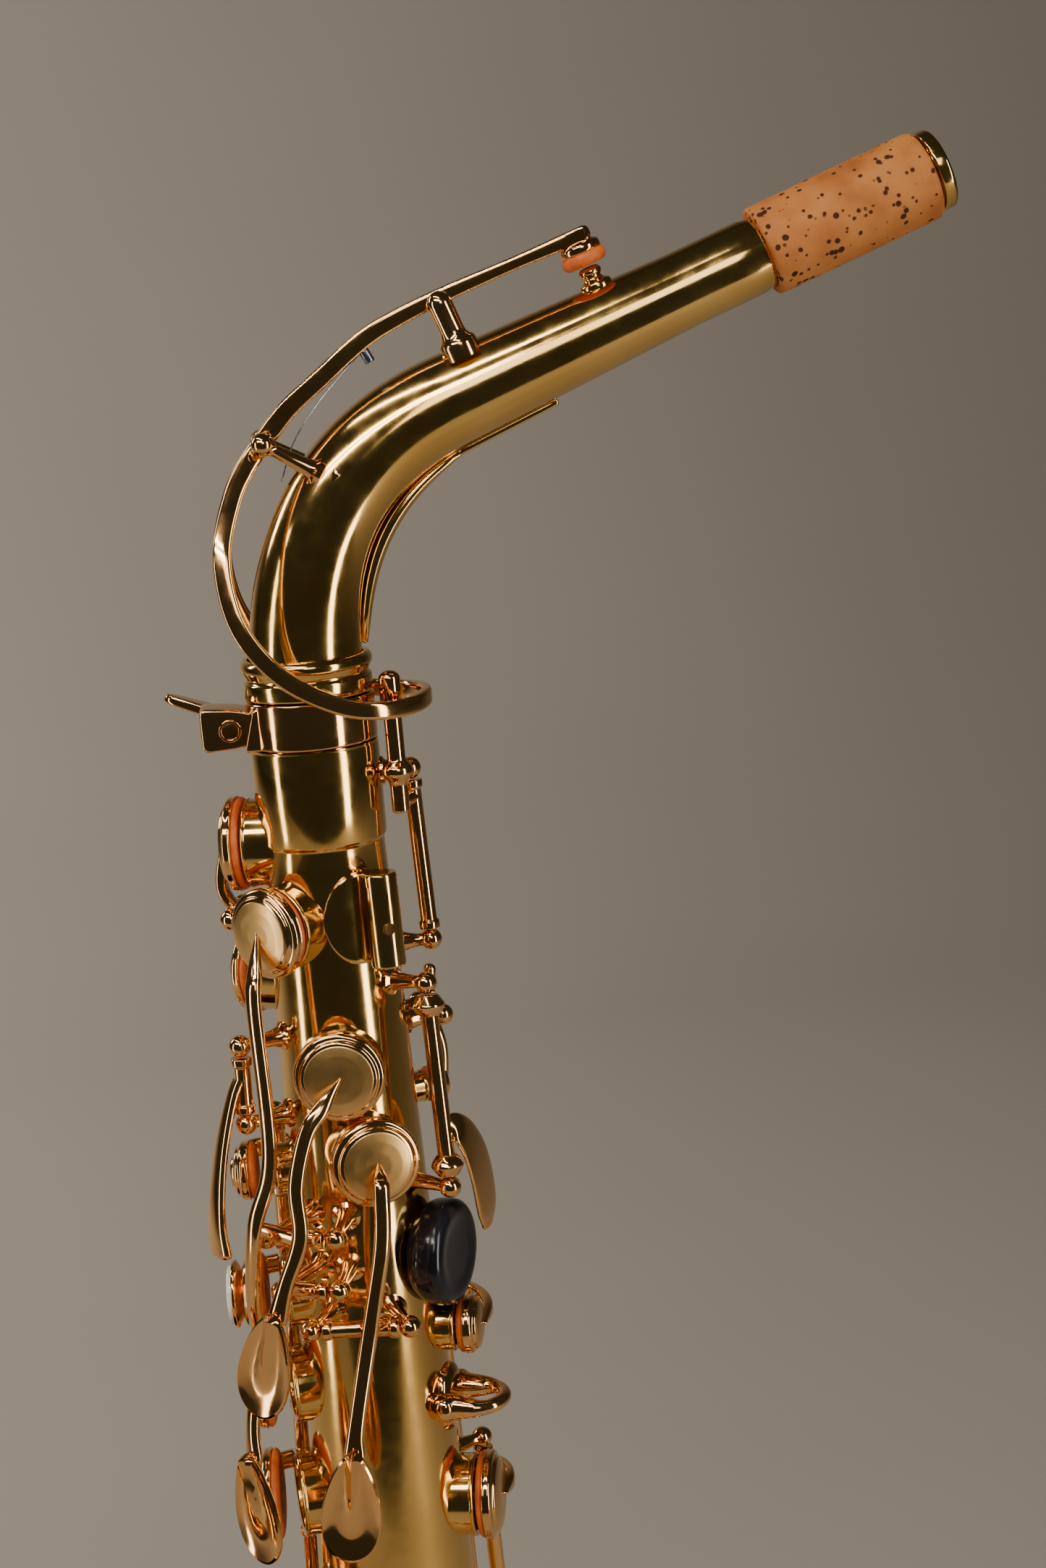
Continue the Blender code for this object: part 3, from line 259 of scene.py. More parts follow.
def sweep(path: Array, width: Array | float, depth: Array | float | None = None, facing: Array = UP,
          power: float = 1.0, sides: int = 20, per: int = 10, round_ends: bool = True) -> Array:
    """Surface of a superellipse carried along a smooth path.

    Args:
        path: points that the path passes through.
        width: half width at each point, or one for all.
        depth: half thickness along facing; the width again if left out.
        facing: direction that the thickness looks in, one for all or one for each point.
        power: 1 for a round section, smaller for a squarer one.
        sides: points round the section.
        per: stations to each span of the path.
        round_ends: whether the ends close in a half circle of the thickness.

    Returns:
        Grid of points, one row for each station.
    """
    path = np.asarray(path, float)
    count = len(path)
    depth = width if depth is None else depth
    sizes = np.stack([np.broadcast_to(np.asarray(width, float), (count,)),
                      np.broadcast_to(np.asarray(depth, float), (count,))], axis=1)
    looks = np.broadcast_to(np.asarray(facing, float), (count, 3))
    run = smooth(np.hstack([path, sizes, looks]), per)
    centre, size, look = run[:, :3], np.maximum(run[:, 3:5], 0.05), run[:, 5:8]
    tangent = unit(np.gradient(centre, axis=0))
    normal = unit(look - tangent * np.sum(look * tangent, axis=1, keepdims=True))
    side = np.cross(tangent, normal)
    if round_ends:
        turn = np.radians([4.0, 20.0, 40.0, 62.0])
        parts = []
        for end, way in ((0, -1.0), (-1, 1.0)):
            half = size[end].min()
            steps = np.sin(np.pi / 2 - turn) * half * 0.9
            cap = centre[end] + way * tangent[end] * steps[:, None]
            shrink = np.sin(turn)[:, None] * size[end]
            parts.append((cap, shrink, np.repeat(normal[end][None], 4, 0), np.repeat(side[end][None], 4, 0)))
        head, tail = parts
        centre = np.vstack([head[0], centre, tail[0][::-1]])
        size = np.vstack([head[1], size, tail[1][::-1]])
        normal = np.vstack([head[2], normal, tail[2][::-1]])
        side = np.vstack([head[3], side, tail[3][::-1]])
    ring = circle(sides)
    ring = np.sign(ring) * np.abs(ring) ** power
    return (centre[:, None] + size[:, None, :1] * ring[None, :, :1] * side[:, None]
            + size[:, None, 1:] * ring[None, :, 1:] * normal[:, None])


def slab(outline: Array, thickness: float, centre: Array, outward: Array, along: Array = UP,
         bevel: float = 0.5) -> Array:
    """Plate of an outline with rounded edges: the outline shrinks by a quarter circle at both faces.

    Args:
        outline: rows of two coordinates.
        thickness: distance between the faces.
        centre: middle of the plate.
        outward: direction that a face looks in.
        along: direction of the outline's second coordinate.
        bevel: radius of the edges.

    Returns:
        Grid of points.
    """
    half = thickness / 2
    reach = float(np.abs(outline).max())
    turn = np.radians([0.0, 22.5, 45.0, 67.5, 90.0])
    shrink = 1 - bevel * (1 - np.sin(turn)) / reach
    rise = half - bevel * (1 - np.cos(turn))
    rows = np.vstack([np.stack([shrink, rise], axis=1), np.stack([shrink, -rise], axis=1)[::-1]])
    return lathe(rows, centre, outward, along, outline)


class Shell:
    """Closed surfaces that make up one piece."""

    def __init__(self) -> None:
        """Start with nothing."""
        self.points: list[Array] = []
        self.faces: list[list[int]] = []
        self.count = 0

    def add(self, rows: Array, wrap: bool = False) -> "Shell":
        """Add a grid as a closed surface that faces outwards.

        Args:
            rows: grid of points, each row a closed ring.
            wrap: whether the last row joins the first; both are capped if not.

        Returns:
            This shell.
        """
        m, n = rows.shape[:2]
        points = rows.reshape(-1, 3)
        low = np.arange(m if wrap else m - 1)[:, None] * n
        high = (low + n) % (m * n)
        here = np.arange(n)[None]
        there = (here + 1) % n
        quads = np.stack([low + here, low + there, high + there, high + here], axis=2).reshape(-1, 4)
        first, second, third, fourth = (points[quads[:, k]] for k in range(4))
        volume = np.sum(first * np.cross(second, third)) + np.sum(first * np.cross(third, fourth))
        fans = np.zeros((0, 3), int)
        if not wrap:
            points = np.vstack([points, rows[0].mean(0), rows[-1].mean(0)])
            head = np.stack([np.full(n, m * n), there[0], here[0]], axis=1)
            tail = np.stack([np.full(n, m * n + 1), (m - 1) * n + here[0], (m - 1) * n + there[0]], axis=1)
            fans = np.vstack([head, tail])
            volume += np.sum(points[fans[:, 0]] * np.cross(points[fans[:, 1]], points[fans[:, 2]]))
        if volume < 0:
            quads, fans = quads[:, ::-1], fans[:, ::-1]
        self.points.append(points)
        self.faces += (quads + self.count).tolist() + (fans + self.count).tolist()
        self.count += len(points)
        return self

    def swung(self, origin: Array, swing: tuple[Array, float]) -> Array:
        """Points turned about an axis by Rodrigues' rule.

        A point p goes to p cos + (axis x p) sin + axis (axis . p)(1 - cos).

        Args:
            origin: point on the axis.
            swing: axis and degrees.

        Returns:
            The turned points.
        """
        axis, degrees = swing
        turn = math.radians(degrees)
        points = np.vstack(self.points) - origin
        around = np.cross(np.broadcast_to(axis, points.shape), points)
        lined = (points @ axis)[:, None] * axis
        return points * math.cos(turn) + around * math.sin(turn) + lined * (1 - math.cos(turn)) + origin


# ------------------------------------------------------------------ finishes
class Slot(enum.Enum):
    """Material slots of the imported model."""

    BRASS = "gold_lacquer"
    CORK = "cork"
    LEATHER = "pad_leather"
    PLASTIC = "black_plastic"
    PEARL = "pearl"


@dataclass(frozen=True)
class Finish:
    """A material made of nodes on object coordinates."""

    name: str
    slot: Slot

    def material(self) -> bpy.types.Material:
        """Material of this finish, made once.

        Returns:
            The material.
        """
        known = bpy.data.materials.get(self.name)
        if known:
            return known
        made = bpy.data.materials.new(self.name)
        made.use_nodes = True
        self.dress(made.node_tree, made.node_tree.nodes["Principled BSDF"])
        return made

    def dress(self, tree: bpy.types.NodeTree, shader: bpy.types.Node) -> None:
        """Set the shader up; each finish has its own."""
        raise NotImplementedError


def noise(tree: bpy.types.NodeTree, scale: float, detail: float = 4.0,
          stretch: tuple[float, float, float] = (1.0, 1.0, 1.0)) -> bpy.types.NodeSocket:
    """Noise on object coordinates.

    Args:
        tree: material's nodes.
        scale: waves in a metre, about.
        detail: octaves.
        stretch: factors on the coordinates.

    Returns:
        The noise's value.
    """
    place = tree.nodes.new("ShaderNodeTexCoord")
    mapping = tree.nodes.new("ShaderNodeMapping")
    mapping.inputs["Scale"].default_value = stretch
    wave = tree.nodes.new("ShaderNodeTexNoise")
    wave.inputs["Scale"].default_value = scale
    wave.inputs["Detail"].default_value = detail
    tree.links.new(place.outputs["Object"], mapping.inputs["Vector"])
    tree.links.new(mapping.outputs["Vector"], wave.inputs["Vector"])
    return wave.outputs["Fac"]


def ramp(tree: bpy.types.NodeTree, value: bpy.types.NodeSocket,
         stops: list[tuple[float, tuple[float, float, float]]]) -> bpy.types.NodeSocket:
    """Colour ramp of a value.

    Args:
        tree: material's nodes.
        value: what drives the ramp.
        stops: places and colours.

    Returns:
        The ramp's colour.
    """
    node = tree.nodes.new("ShaderNodeValToRGB")
    points = node.color_ramp.elements
    while len(points) < len(stops):
        points.new(0.5)
    for point, (place, colour) in zip(points, stops):
        point.position = place
        point.color = (*colour, 1.0)
    tree.links.new(value, node.inputs["Fac"])
    return node.outputs["Color"]


def span(tree: bpy.types.NodeTree, value: bpy.types.NodeSocket, low: float, high: float,
         out_low: float, out_high: float) -> bpy.types.NodeSocket:
    """Value carried from one range to another.

    Args:
        tree: material's nodes.
        value: what is carried over.
        low: start of its range.
        high: end of its range.
        out_low: start of the new range.
        out_high: end of the new range.

    Returns:
        The new value.
    """
    node = tree.nodes.new("ShaderNodeMapRange")
    for name, number in (("From Min", low), ("From Max", high), ("To Min", out_low), ("To Max", out_high)):
        node.inputs[name].default_value = number
    tree.links.new(value, node.inputs["Value"])
    return node.outputs["Result"]


def relief(tree: bpy.types.NodeTree, shader: bpy.types.Node, height: bpy.types.NodeSocket,
           depth: float, strength: float) -> None:
    """Bump of a height in metres on a shader.

    Args:
        tree: material's nodes.
        shader: node that gets the bump.
        height: what drives it.
        depth: metres at a height of one.
        strength: share of it that shows.
    """
    bump = tree.nodes.new("ShaderNodeBump")
    bump.inputs["Distance"].default_value = depth
    bump.inputs["Strength"].default_value = strength
    tree.links.new(height, bump.inputs["Height"])
    tree.links.new(bump.outputs["Normal"], shader.inputs["Normal"])


@dataclass(frozen=True)
class Lacquer(Finish):
    """Polished brass under clear lacquer, with faint cloudiness and hairline scratches."""

    light: tuple[float, float, float] = (0.86, 0.58, 0.2)
    deep: tuple[float, float, float] = (0.74, 0.46, 0.13)
    gloss: float = 0.09

    def dress(self, tree: bpy.types.NodeTree, shader: bpy.types.Node) -> None:
        """Metal whose colour and roughness drift a little, and scratches as a fine stretched noise.

        Args:
            tree: material's nodes.
            shader: its Principled BSDF.
        """
        shader.inputs["Metallic"].default_value = 1.0
        shader.inputs["Coat Weight"].default_value = 0.35
        shader.inputs["Coat Roughness"].default_value = 0.04
        shader.inputs["Coat Tint"].default_value = (1.0, 0.9, 0.72, 1.0)
        cloud = noise(tree, 38.0, 5.0)
        tree.links.new(ramp(tree, cloud, [(0.3, self.deep), (0.7, self.light)]), shader.inputs["Base Color"])
        haze = noise(tree, 260.0, 6.0)
        tree.links.new(span(tree, haze, 0.35, 0.75, self.gloss, self.gloss + 0.07),
                       shader.inputs["Roughness"])
        relief(tree, shader, noise(tree, 900.0, 3.0, (1.0, 1.0, 0.12)), 0.00002, 0.12)


@dataclass(frozen=True)
class Cork(Finish):
    """Sheet cork: warm tan with darker clouds and round brown pores sunk into it."""

    def dress(self, tree: bpy.types.NodeTree, shader: bpy.types.Node) -> None:
        """Cells whose distance is small are pores; a noise decides which of them show.

        Args:
            tree: material's nodes.
            shader: its Principled BSDF.
        """
        shader.inputs["Specular IOR Level"].default_value = 0.25
        cloud = noise(tree, 90.0, 8.0)
        ground = ramp(tree, cloud, [(0.3, (0.36, 0.105, 0.022)), (0.5, (0.52, 0.185, 0.045)),
                                    (0.72, (0.62, 0.255, 0.07))])
        place = tree.nodes.new("ShaderNodeTexCoord")
        cells = tree.nodes.new("ShaderNodeTexVoronoi")
        cells.inputs["Scale"].default_value = 520.0
        cells.inputs["Randomness"].default_value = 1.0
        tree.links.new(place.outputs["Object"], cells.inputs["Vector"])
        patch = span(tree, noise(tree, 230.0, 2.0), 0.4, 0.66, 0.1, 0.44)
        pore = tree.nodes.new("ShaderNodeMath")
        pore.operation = "SUBTRACT"
        tree.links.new(patch, pore.inputs[0])
        tree.links.new(cells.outputs["Distance"], pore.inputs[1])
        hole = span(tree, pore.outputs["Value"], 0.0, 0.09, 0.0, 1.0)
        mix = tree.nodes.new("ShaderNodeMix")
        mix.data_type = "RGBA"
        mix.inputs[7].default_value = (0.06, 0.018, 0.008, 1.0)
        tree.links.new(hole, mix.inputs[0])
        tree.links.new(ground, mix.inputs[6])
        tree.links.new(mix.outputs[2], shader.inputs["Base Color"])
        tree.links.new(span(tree, hole, 0.0, 1.0, 0.62, 0.9), shader.inputs["Roughness"])
        relief(tree, shader, span(tree, hole, 0.0, 1.0, 1.0, 0.0), 0.0004, 0.7)


@dataclass(frozen=True)
class PadLeather(Finish):
    """Orange-tan kid leather of the pads, softly creased."""

    def dress(self, tree: bpy.types.NodeTree, shader: bpy.types.Node) -> None:
        """Colour from a broad noise, creases from a fine one.

        Args:
            tree: material's nodes.
            shader: its Principled BSDF.
        """
        tree.links.new(ramp(tree, noise(tree, 220.0, 5.0),
                            [(0.3, (0.42, 0.06, 0.008)), (0.7, (0.8, 0.17, 0.02))]),
                       shader.inputs["Base Color"])
        tree.links.new(span(tree, noise(tree, 700.0, 4.0), 0.3, 0.7, 0.4, 0.62), shader.inputs["Roughness"])
        relief(tree, shader, noise(tree, 1600.0, 6.0), 0.0001, 0.5)


@dataclass(frozen=True)
class Plastic(Finish):
    """Glossy black plastic with fine wear."""

    colour: tuple[float, float, float] = (0.006, 0.007, 0.011)
    gloss: float = 0.12

    def dress(self, tree: bpy.types.NodeTree, shader: bpy.types.Node) -> None:
        """Nearly black, with paler and rougher patches from two noises.

        Args:
            tree: material's nodes.
            shader: its Principled BSDF.
        """
        worn = tuple(min(part * 2.2 + 0.004, 1.0) for part in self.colour)
        tree.links.new(ramp(tree, noise(tree, 120.0, 6.0), [(0.4, self.colour), (0.8, worn)]),
                       shader.inputs["Base Color"])
        tree.links.new(span(tree, noise(tree, 300.0, 6.0), 0.35, 0.8, self.gloss, self.gloss + 0.14),
                       shader.inputs["Roughness"])


@dataclass(frozen=True)
class Pearl(Finish):
    """Mother of pearl: pale with drifting pink and green under a gloss."""

    def dress(self, tree: bpy.types.NodeTree, shader: bpy.types.Node) -> None:
        """Warped bands of three pale colours, with a clear coat.

        Args:
            tree: material's nodes.
            shader: its Principled BSDF.
        """
        shader.inputs["Coat Weight"].default_value = 0.6
        shader.inputs["Coat Roughness"].default_value = 0.05
        bands = noise(tree, 110.0, 5.0, (1.0, 1.0, 3.0))
        tree.links.new(ramp(tree, bands, [(0.32, (0.62, 0.72, 0.66)), (0.5, (0.88, 0.86, 0.8)),
                                          (0.68, (0.86, 0.7, 0.72))]), shader.inputs["Base Color"])
        tree.links.new(span(tree, bands, 0.3, 0.7, 0.16, 0.32), shader.inputs["Roughness"])


@dataclass(frozen=True)
class Steel(Finish):
    """Blued steel of the springs and a small screw."""

    light: tuple[float, float, float] = (0.3, 0.34, 0.46)
    deep: tuple[float, float, float] = (0.07, 0.09, 0.17)

    def dress(self, tree: bpy.types.NodeTree, shader: bpy.types.Node) -> None:
        """Metal whose blue drifts along the length.

        Args:
            tree: material's nodes.
            shader: its Principled BSDF.
        """
        shader.inputs["Metallic"].default_value = 1.0
        tree.links.new(ramp(tree, noise(tree, 150.0, 3.0), [(0.35, self.deep), (0.7, self.light)]),
                       shader.inputs["Base Color"])
        tree.links.new(span(tree, noise(tree, 900.0, 4.0), 0.3, 0.7, 0.18, 0.34), shader.inputs["Roughness"])


@dataclass(frozen=True)
class Wall(Finish):
    """Matte pale paint of the room."""

    colour: tuple[float, float, float] = (0.42, 0.38, 0.335)

    def dress(self, tree: bpy.types.NodeTree, shader: bpy.types.Node) -> None:
        """Paint with a very faint unevenness.

        Args:
            tree: material's nodes.
            shader: its Principled BSDF.
        """
        darker = tuple(part * 0.94 for part in self.colour)
        tree.links.new(ramp(tree, noise(tree, 1.2, 3.0), [(0.3, darker), (0.7, self.colour)]),
                       shader.inputs["Base Color"])
        shader.inputs["Roughness"].default_value = 0.95


TUBE_BRASS = Lacquer("tube_lacquer", Slot.BRASS)
KEY_BRASS = Lacquer("key_lacquer", Slot.BRASS, (0.92, 0.56, 0.24), (0.82, 0.45, 0.16), 0.07)
LID_BRASS = Lacquer("cup_lid_satin", Slot.BRASS, (0.9, 0.58, 0.23), (0.76, 0.45, 0.15), 0.3)
# Near-black brass for the discs set in holes and bores: painted shade that stands in for the dark inside of
# the tubes.
BORE_PAINTED_SHADE = Lacquer("bore_painted_shade", Slot.BRASS, (0.16, 0.085, 0.03), (0.08, 0.04, 0.015), 0.4)
SHEET_CORK = Cork("sheet_cork", Slot.CORK)
PAD_LEATHER = PadLeather("kid_leather", Slot.LEATHER)
BLACK_PLASTIC = Plastic("thumb_plastic", Slot.PLASTIC)
SHELL_PEARL = Pearl("shell_pearl", Slot.PEARL)
BLUED_STEEL = Steel("blued_steel", Slot.BRASS)


def make_piece(name: str, shell: Shell, finish: Finish, body: str, nodes: tuple[str, ...] = (),
               origin: Array = UP, swing: tuple[Array, float] = NO_TURN) -> bpy.types.Object:
    """Turn a shell into a piece that rides on a body.

    Args:
        name: piece's name.
        shell: its closed surfaces.
        finish: its material.
        body: body that it moves with.
        nodes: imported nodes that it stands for.
        origin: point on the axis of its resting turn.
        swing: axis and degrees at which it rests.

    Returns:
        The piece's object.
    """
    points = (shell.swung(origin, swing) - STRAP_HOLE) * 0.001
    mesh = bpy.data.meshes.new(name)
    mesh.from_pydata(points, [], shell.faces)
    mesh.materials.append(finish.material())
    mesh.shade_smooth()
    mesh.set_sharp_from_angle(angle=math.radians(38))
    piece = bpy.data.objects.new(name, mesh)
    bpy.context.scene.collection.objects.link(piece)
    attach(piece, body)
    if nodes:
        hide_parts(*nodes)
    LOG.info("%s: %d faces on %s", name, len(shell.faces), body)
    return piece


# ------------------------------------------------------------------ parts that repeat
@dataclass(frozen=True)
class ToneHole:
    """Chimney on a tube, and the cup and pad that close it."""

    centre: Array
    outward: Array
    reach: float
    bore: float
    lift: float = 3.2
    depth: float = 4.5
    overhang: float = 1.9

    @property
    def edge(self) -> float:
        """Height of the chimney's rim above the centre."""
        return self.reach + self.lift

    @property
    def sides(self) -> int:
        """Points round it."""
        return 48 if self.bore < 9 else 64

    def above(self, height: float) -> Array:
        """Point over the middle of the hole, measured from the rim."""
        return self.centre + self.outward * (self.edge + height)

    def chimney(self) -> Array:
        """Wall with a rolled rim, down into the tube.

        Returns:
            Grid of points, a closed loop of rings.
        """
        wall = rounded([(self.bore + 1.2, self.reach - 9), (self.bore + 1.2, self.edge - 0.9),
                        (self.bore + 1.5, self.edge - 0.5), (self.bore + 1.1, self.edge),
                        (self.bore, self.edge - 0.3), (self.bore, self.reach - 9)], 0.3, closed=True)
        return lathe(wall, self.centre, self.outward, sides=self.sides)

    def shade(self) -> Array:
        """Dark floor, painted shade that stands in for the open bore.

        Returns:
            Grid of points.
        """
        return lathe([(0.2, self.reach + 0.5), (self.bore + 0.1, self.reach + 0.5),
                      (self.bore + 0.1, self.reach - 5), (0.2, self.reach - 5)], self.centre, self.outward,
                     sides=32)

    def cup(self) -> Array:
        """Lid with a low dome, a step inside its edge and a straight skirt.

        Returns:
            Grid of points.
        """
        r = self.bore + self.overhang
        low, high = self.edge + GAP + 1.6, self.edge + GAP + self.depth
        steps = [(0.05, high + 0.75), (0.3 * r, high + 0.7), (0.55 * r, high + 0.5), (0.78 * r, high + 0.1),
                 (0.84 * r, high - 0.1), (0.87 * r, high - 0.75), (r - 0.5, high - 0.85), (r, high - 1.3),
                 (r, low + 0.5), (r + 0.15, low + 0.2), (r, low), (r - 0.8, low), (0.05, low)]
        return lathe(rounded(steps, 0.35), self.centre, self.outward, sides=self.sides)

    def lid(self) -> Array:
        """Satin field inside the step of the cup.

        Returns:
            Grid of points.
        """
        r = self.bore + self.overhang
        high = self.edge + GAP + self.depth
        steps = [(0.05, high + 0.82), (0.3 * r, high + 0.78), (0.55 * r, high + 0.58), (0.76 * r, high + 0.2),
                 (0.79 * r, high - 0.2), (0.05, high - 0.2)]
        return lathe(rounded(steps, 0.3), self.centre, self.outward, sides=self.sides)

    def pad(self) -> Array:
        """Leather pad that swells below the lid.

        Returns:
            Grid of points.
        """
        r = self.bore + self.overhang
        low, high = self.edge + GAP, self.edge + GAP + 1.9
        steps = [(0.05, high), (r - 0.9, high), (r - 0.25, high - 0.5), (r - 0.1, low + 0.9),
                 (r - 0.6, low + 0.25), (r - 1.6, low), (0.05, low + 0.1)]
        return lathe(rounded(steps, 0.4), self.centre, self.outward, sides=self.sides)

    def holder(self) -> Array:
        """Seat of a finger pearl with a thin raised lip.

        Returns:
            Grid of points.
        """
        low = self.edge + GAP + self.depth + 0.3
        steps = [(0.05, low + 1.4), (6.5, low + 1.4), (6.6, low + 2.3), (7.2, low + 2.4), (7.4, low + 1.6),
                 (5.0, low + 0.3), (4.6, low - 1.0), (0.05, low - 1.0)]
        return lathe(rounded(steps, 0.25), self.centre, self.outward, sides=48)

    def pearl(self) -> Array:
        """Pearl dished to the finger.

        Returns:
            Grid of points.
        """
        low = self.edge + GAP + self.depth + 1.75
        steps = [(0.05, low + 1.6), (3.0, low + 1.7), (5.2, low + 2.1), (6.2, low + 1.9), (6.4, low + 0.8),
                 (6.4, low), (0.05, low)]
        return lathe(rounded(steps, 0.5), self.centre, self.outward, sides=48)


def body_hole(angle: float, height: float, bore: float) -> ToneHole:
    """Tone hole on the body tube."""
    return ToneHole(UP * height, radial(angle), BODY.radius(height), bore)


def post(foot: Array, head: Array, ball: float = 2.35, base: float = 3.1) -> Array:
    """Turned post: a cone-shaped foot, a waist and a ball, all one profile round the line to the head.

    Args:
        foot: point on the tube.
        head: middle of the ball.
        ball: the ball's radius.
        base: the foot's radius.

    Returns:
        Grid of points.
    """
    length = float(np.linalg.norm(head - foot))
    swell = np.radians(np.linspace(-52.0, 88.0, 12))
    stem = [(base, -0.6), (base, 0.5), (base * 0.74, 1.0), (1.75, min(2.6, length * 0.4)),
            (1.35, max(length - ball * 1.15, length * 0.45))]
    profile = np.vstack([stem, np.stack([ball * np.cos(swell), length + ball * np.sin(swell)], axis=1)])
    return lathe(profile, foot, head - foot, sides=28)


@dataclass(frozen=True)
class Hinge:
    """Hinge tube between two points with a post past each end that it has."""

    start: Array
    end: Array
    posts: tuple[bool, bool] = (True, True)
    radius: float = 1.9

    @property
    def axis(self) -> Array:
        """Direction from start to end."""
        return unit(self.end - self.start)

    def at(self, share: float) -> Array:
        """Point along the tube."""
        return self.start + (self.end - self.start) * share

    def tube(self) -> Array:
        """Tube with a collar turned at each end.

        Returns:
            Grid of points.
        """
        length = float(np.linalg.norm(self.end - self.start))
        r = self.radius
        collar = min(1.6, length * 0.2)
        steps = [(0.6, 0.0), (r + 0.35, 0.0), (r + 0.35, collar), (r - 0.1, collar + 0.3),
                 (r - 0.1, length - collar - 0.3), (r + 0.35, length - collar), (r + 0.35, length),
                 (0.6, length)]
        return lathe(rounded(steps, 0.25), self.start, self.axis, sides=32)

    def post_heads(self) -> list[Array]:
        """Balls of its posts.

        Returns:
            Middles of the balls.
        """
        past = self.axis * (GAP + 2.2)
        heads = []
        if self.posts[0]:
            heads.append(self.start - past)
        if self.posts[1]:
            heads.append(self.end + past)
        return heads

    def opening(self, point: Array, outward: Array, degrees: float) -> tuple[Array, float]:
        """Axis and angle that lift a point outward."""
        travel = float(np.cross(self.axis, point - self.start) @ outward)
        return self.axis, math.copysign(degrees, travel)


def lengthwise(angle: float, top: float, bottom: float, lift: float = 7.0,
               posts: tuple[bool, bool] = (True, True)) -> Hinge:
    """Hinge along the body tube."""
    return Hinge(BODY.place(angle, top, lift), BODY.place(angle, bottom, lift), posts)


def crosswise(angle: float, height: float, length: float, lift: float = 7.0) -> Hinge:
    """Hinge at right angles to the body tube.

    Args:
        angle: where it lies on the tube.
        height: its height.
        length: the tube's length.
        lift: axis above the surface.

    Returns:
        The hinge.
    """
    middle = BODY.place(angle, height, lift)
    side = np.cross(UP, radial(angle))
    return Hinge(middle - side * length / 2, middle + side * length / 2)


def outward_of(points: Array) -> Array:
    """Directions out of the body tube at points, level."""
    flat = np.asarray(points, float) * np.array([1.0, 1.0, 0.0])
    return unit(flat)


def arm(points: list[Array], width: Array | float = 1.9, depth: Array | float = 1.25,
        power: float = 0.62) -> Array:
    """Flat bar along points, its face turned away from the body tube."""
    return sweep(np.array(points), width, depth, outward_of(points), power, 24)


def around_body(start: float, end: float, height: float, lifts: tuple[float, ...]) -> list[Array]:
    """Points of an arm that runs round the body tube.

    Args:
        start: angle where it starts.
        end: angle where it ends.
        height: its height.
        lifts: how far each point stands off the surface.

    Returns:
        The points.
    """
    last = len(lifts) - 1
    return [BODY.place(start + (end - start) * place / last, height, lift) for place,
            lift in enumerate(lifts)]


@dataclass
class Workshop:
    """Shells shared by all the keys: what is soldered to the tubes, the dark floors of painted shade in the
    holes, and the springs.
    """

    posts: Shell = field(default_factory=Shell)
    chimneys: Shell = field(default_factory=Shell)
    shades: Shell = field(default_factory=Shell)
    springs: Shell = field(default_factory=Shell)

    def open_hole(self, hole: ToneHole) -> ToneHole:
        """Add a hole's chimney and its dark floor of painted shade.

        Args:
            hole: the tone hole.

        Returns:
            The same hole.
        """
        self.chimneys.add(hole.chimney(), wrap=True)
        self.shades.add(hole.shade())
        return hole

    def stand(self, hinge: Hinge) -> Hinge:
        """Add a hinge's posts, each from the body's surface.

        Args:
            hinge: the hinge.

        Returns:
            The same hinge.
        """
        for head in hinge.post_heads():
            outward = outward_of(head)
            foot = outward * (BODY.radius(head[2]) - 0.1) + UP * head[2]
            self.posts.add(post(foot, head))
        return hinge

    def spring(self, hinge: Hinge, reach: float = 16.0) -> None:
        """Add a needle spring beside a hinge tube, from a post towards the key.

        Args:
            hinge: hinge that it works on.
            reach: the spring's length.
        """
        outward = outward_of(hinge.start)
        length = float(np.linalg.norm(hinge.end - hinge.start))
        if length < reach:
            return
        start = hinge.start - hinge.axis * 2.2 - outward * 1.4
        tip = start + hinge.axis * reach - outward * 1.6
        self.springs.add(sweep(np.array([start, (start + tip) / 2 - outward * 0.5, tip]), [0.42, 0.36, 0.2]))

    def deliver(self) -> None:
        """Make the shared pieces."""
        make_piece("body_posts", self.posts, KEY_BRASS, "horn")
        make_piece("tone_hole_chimneys", self.chimneys, TUBE_BRASS, "horn")
        # Dark floors under the chimneys: painted shade for the open holes.
        make_piece("open_bores_painted_shade", self.shades, BORE_PAINTED_SHADE, "horn")
        make_piece("needle_springs", self.springs, BLUED_STEEL, "horn")


def finish_key(name: str, hinge: Hinge, shell: Shell, hole: ToneHole | None = None,
               swing: tuple[Array, float] = NO_TURN, pearl: ToneHole | None = None) -> None:
    """Make a key, its pad and its pearl.

    Args:
        name: key's name, which is also its body.
        hinge: hinge that it turns on.
        shell: arm and touch; the tube and cup are added here.
        hole: tone hole that it closes, if any.
        swing: turn at which it rests.
        pearl: hole whose cup carries the finger pearl.
    """
    shell.add(hinge.tube())
    if hole:
        shell.add(hole.cup())
    if pearl:
        shell.add(pearl.holder())
    make_piece(name + "_shape", shell, KEY_BRASS, name, (name,), hinge.start, swing)
    if hole:
        make_piece(name + "_lid", Shell().add(hole.lid()), LID_BRASS, name, (), hinge.start, swing)
        make_piece(name + "_pad", Shell().add(hole.pad()), PAD_LEATHER, name, (), hinge.start, swing)
    if pearl:
        stem = name.removesuffix("_key")
        make_piece(stem + "_finger_pearl", Shell().add(pearl.pearl()), SHELL_PEARL, name, (stem + "_pearl",),
                   hinge.start, swing)


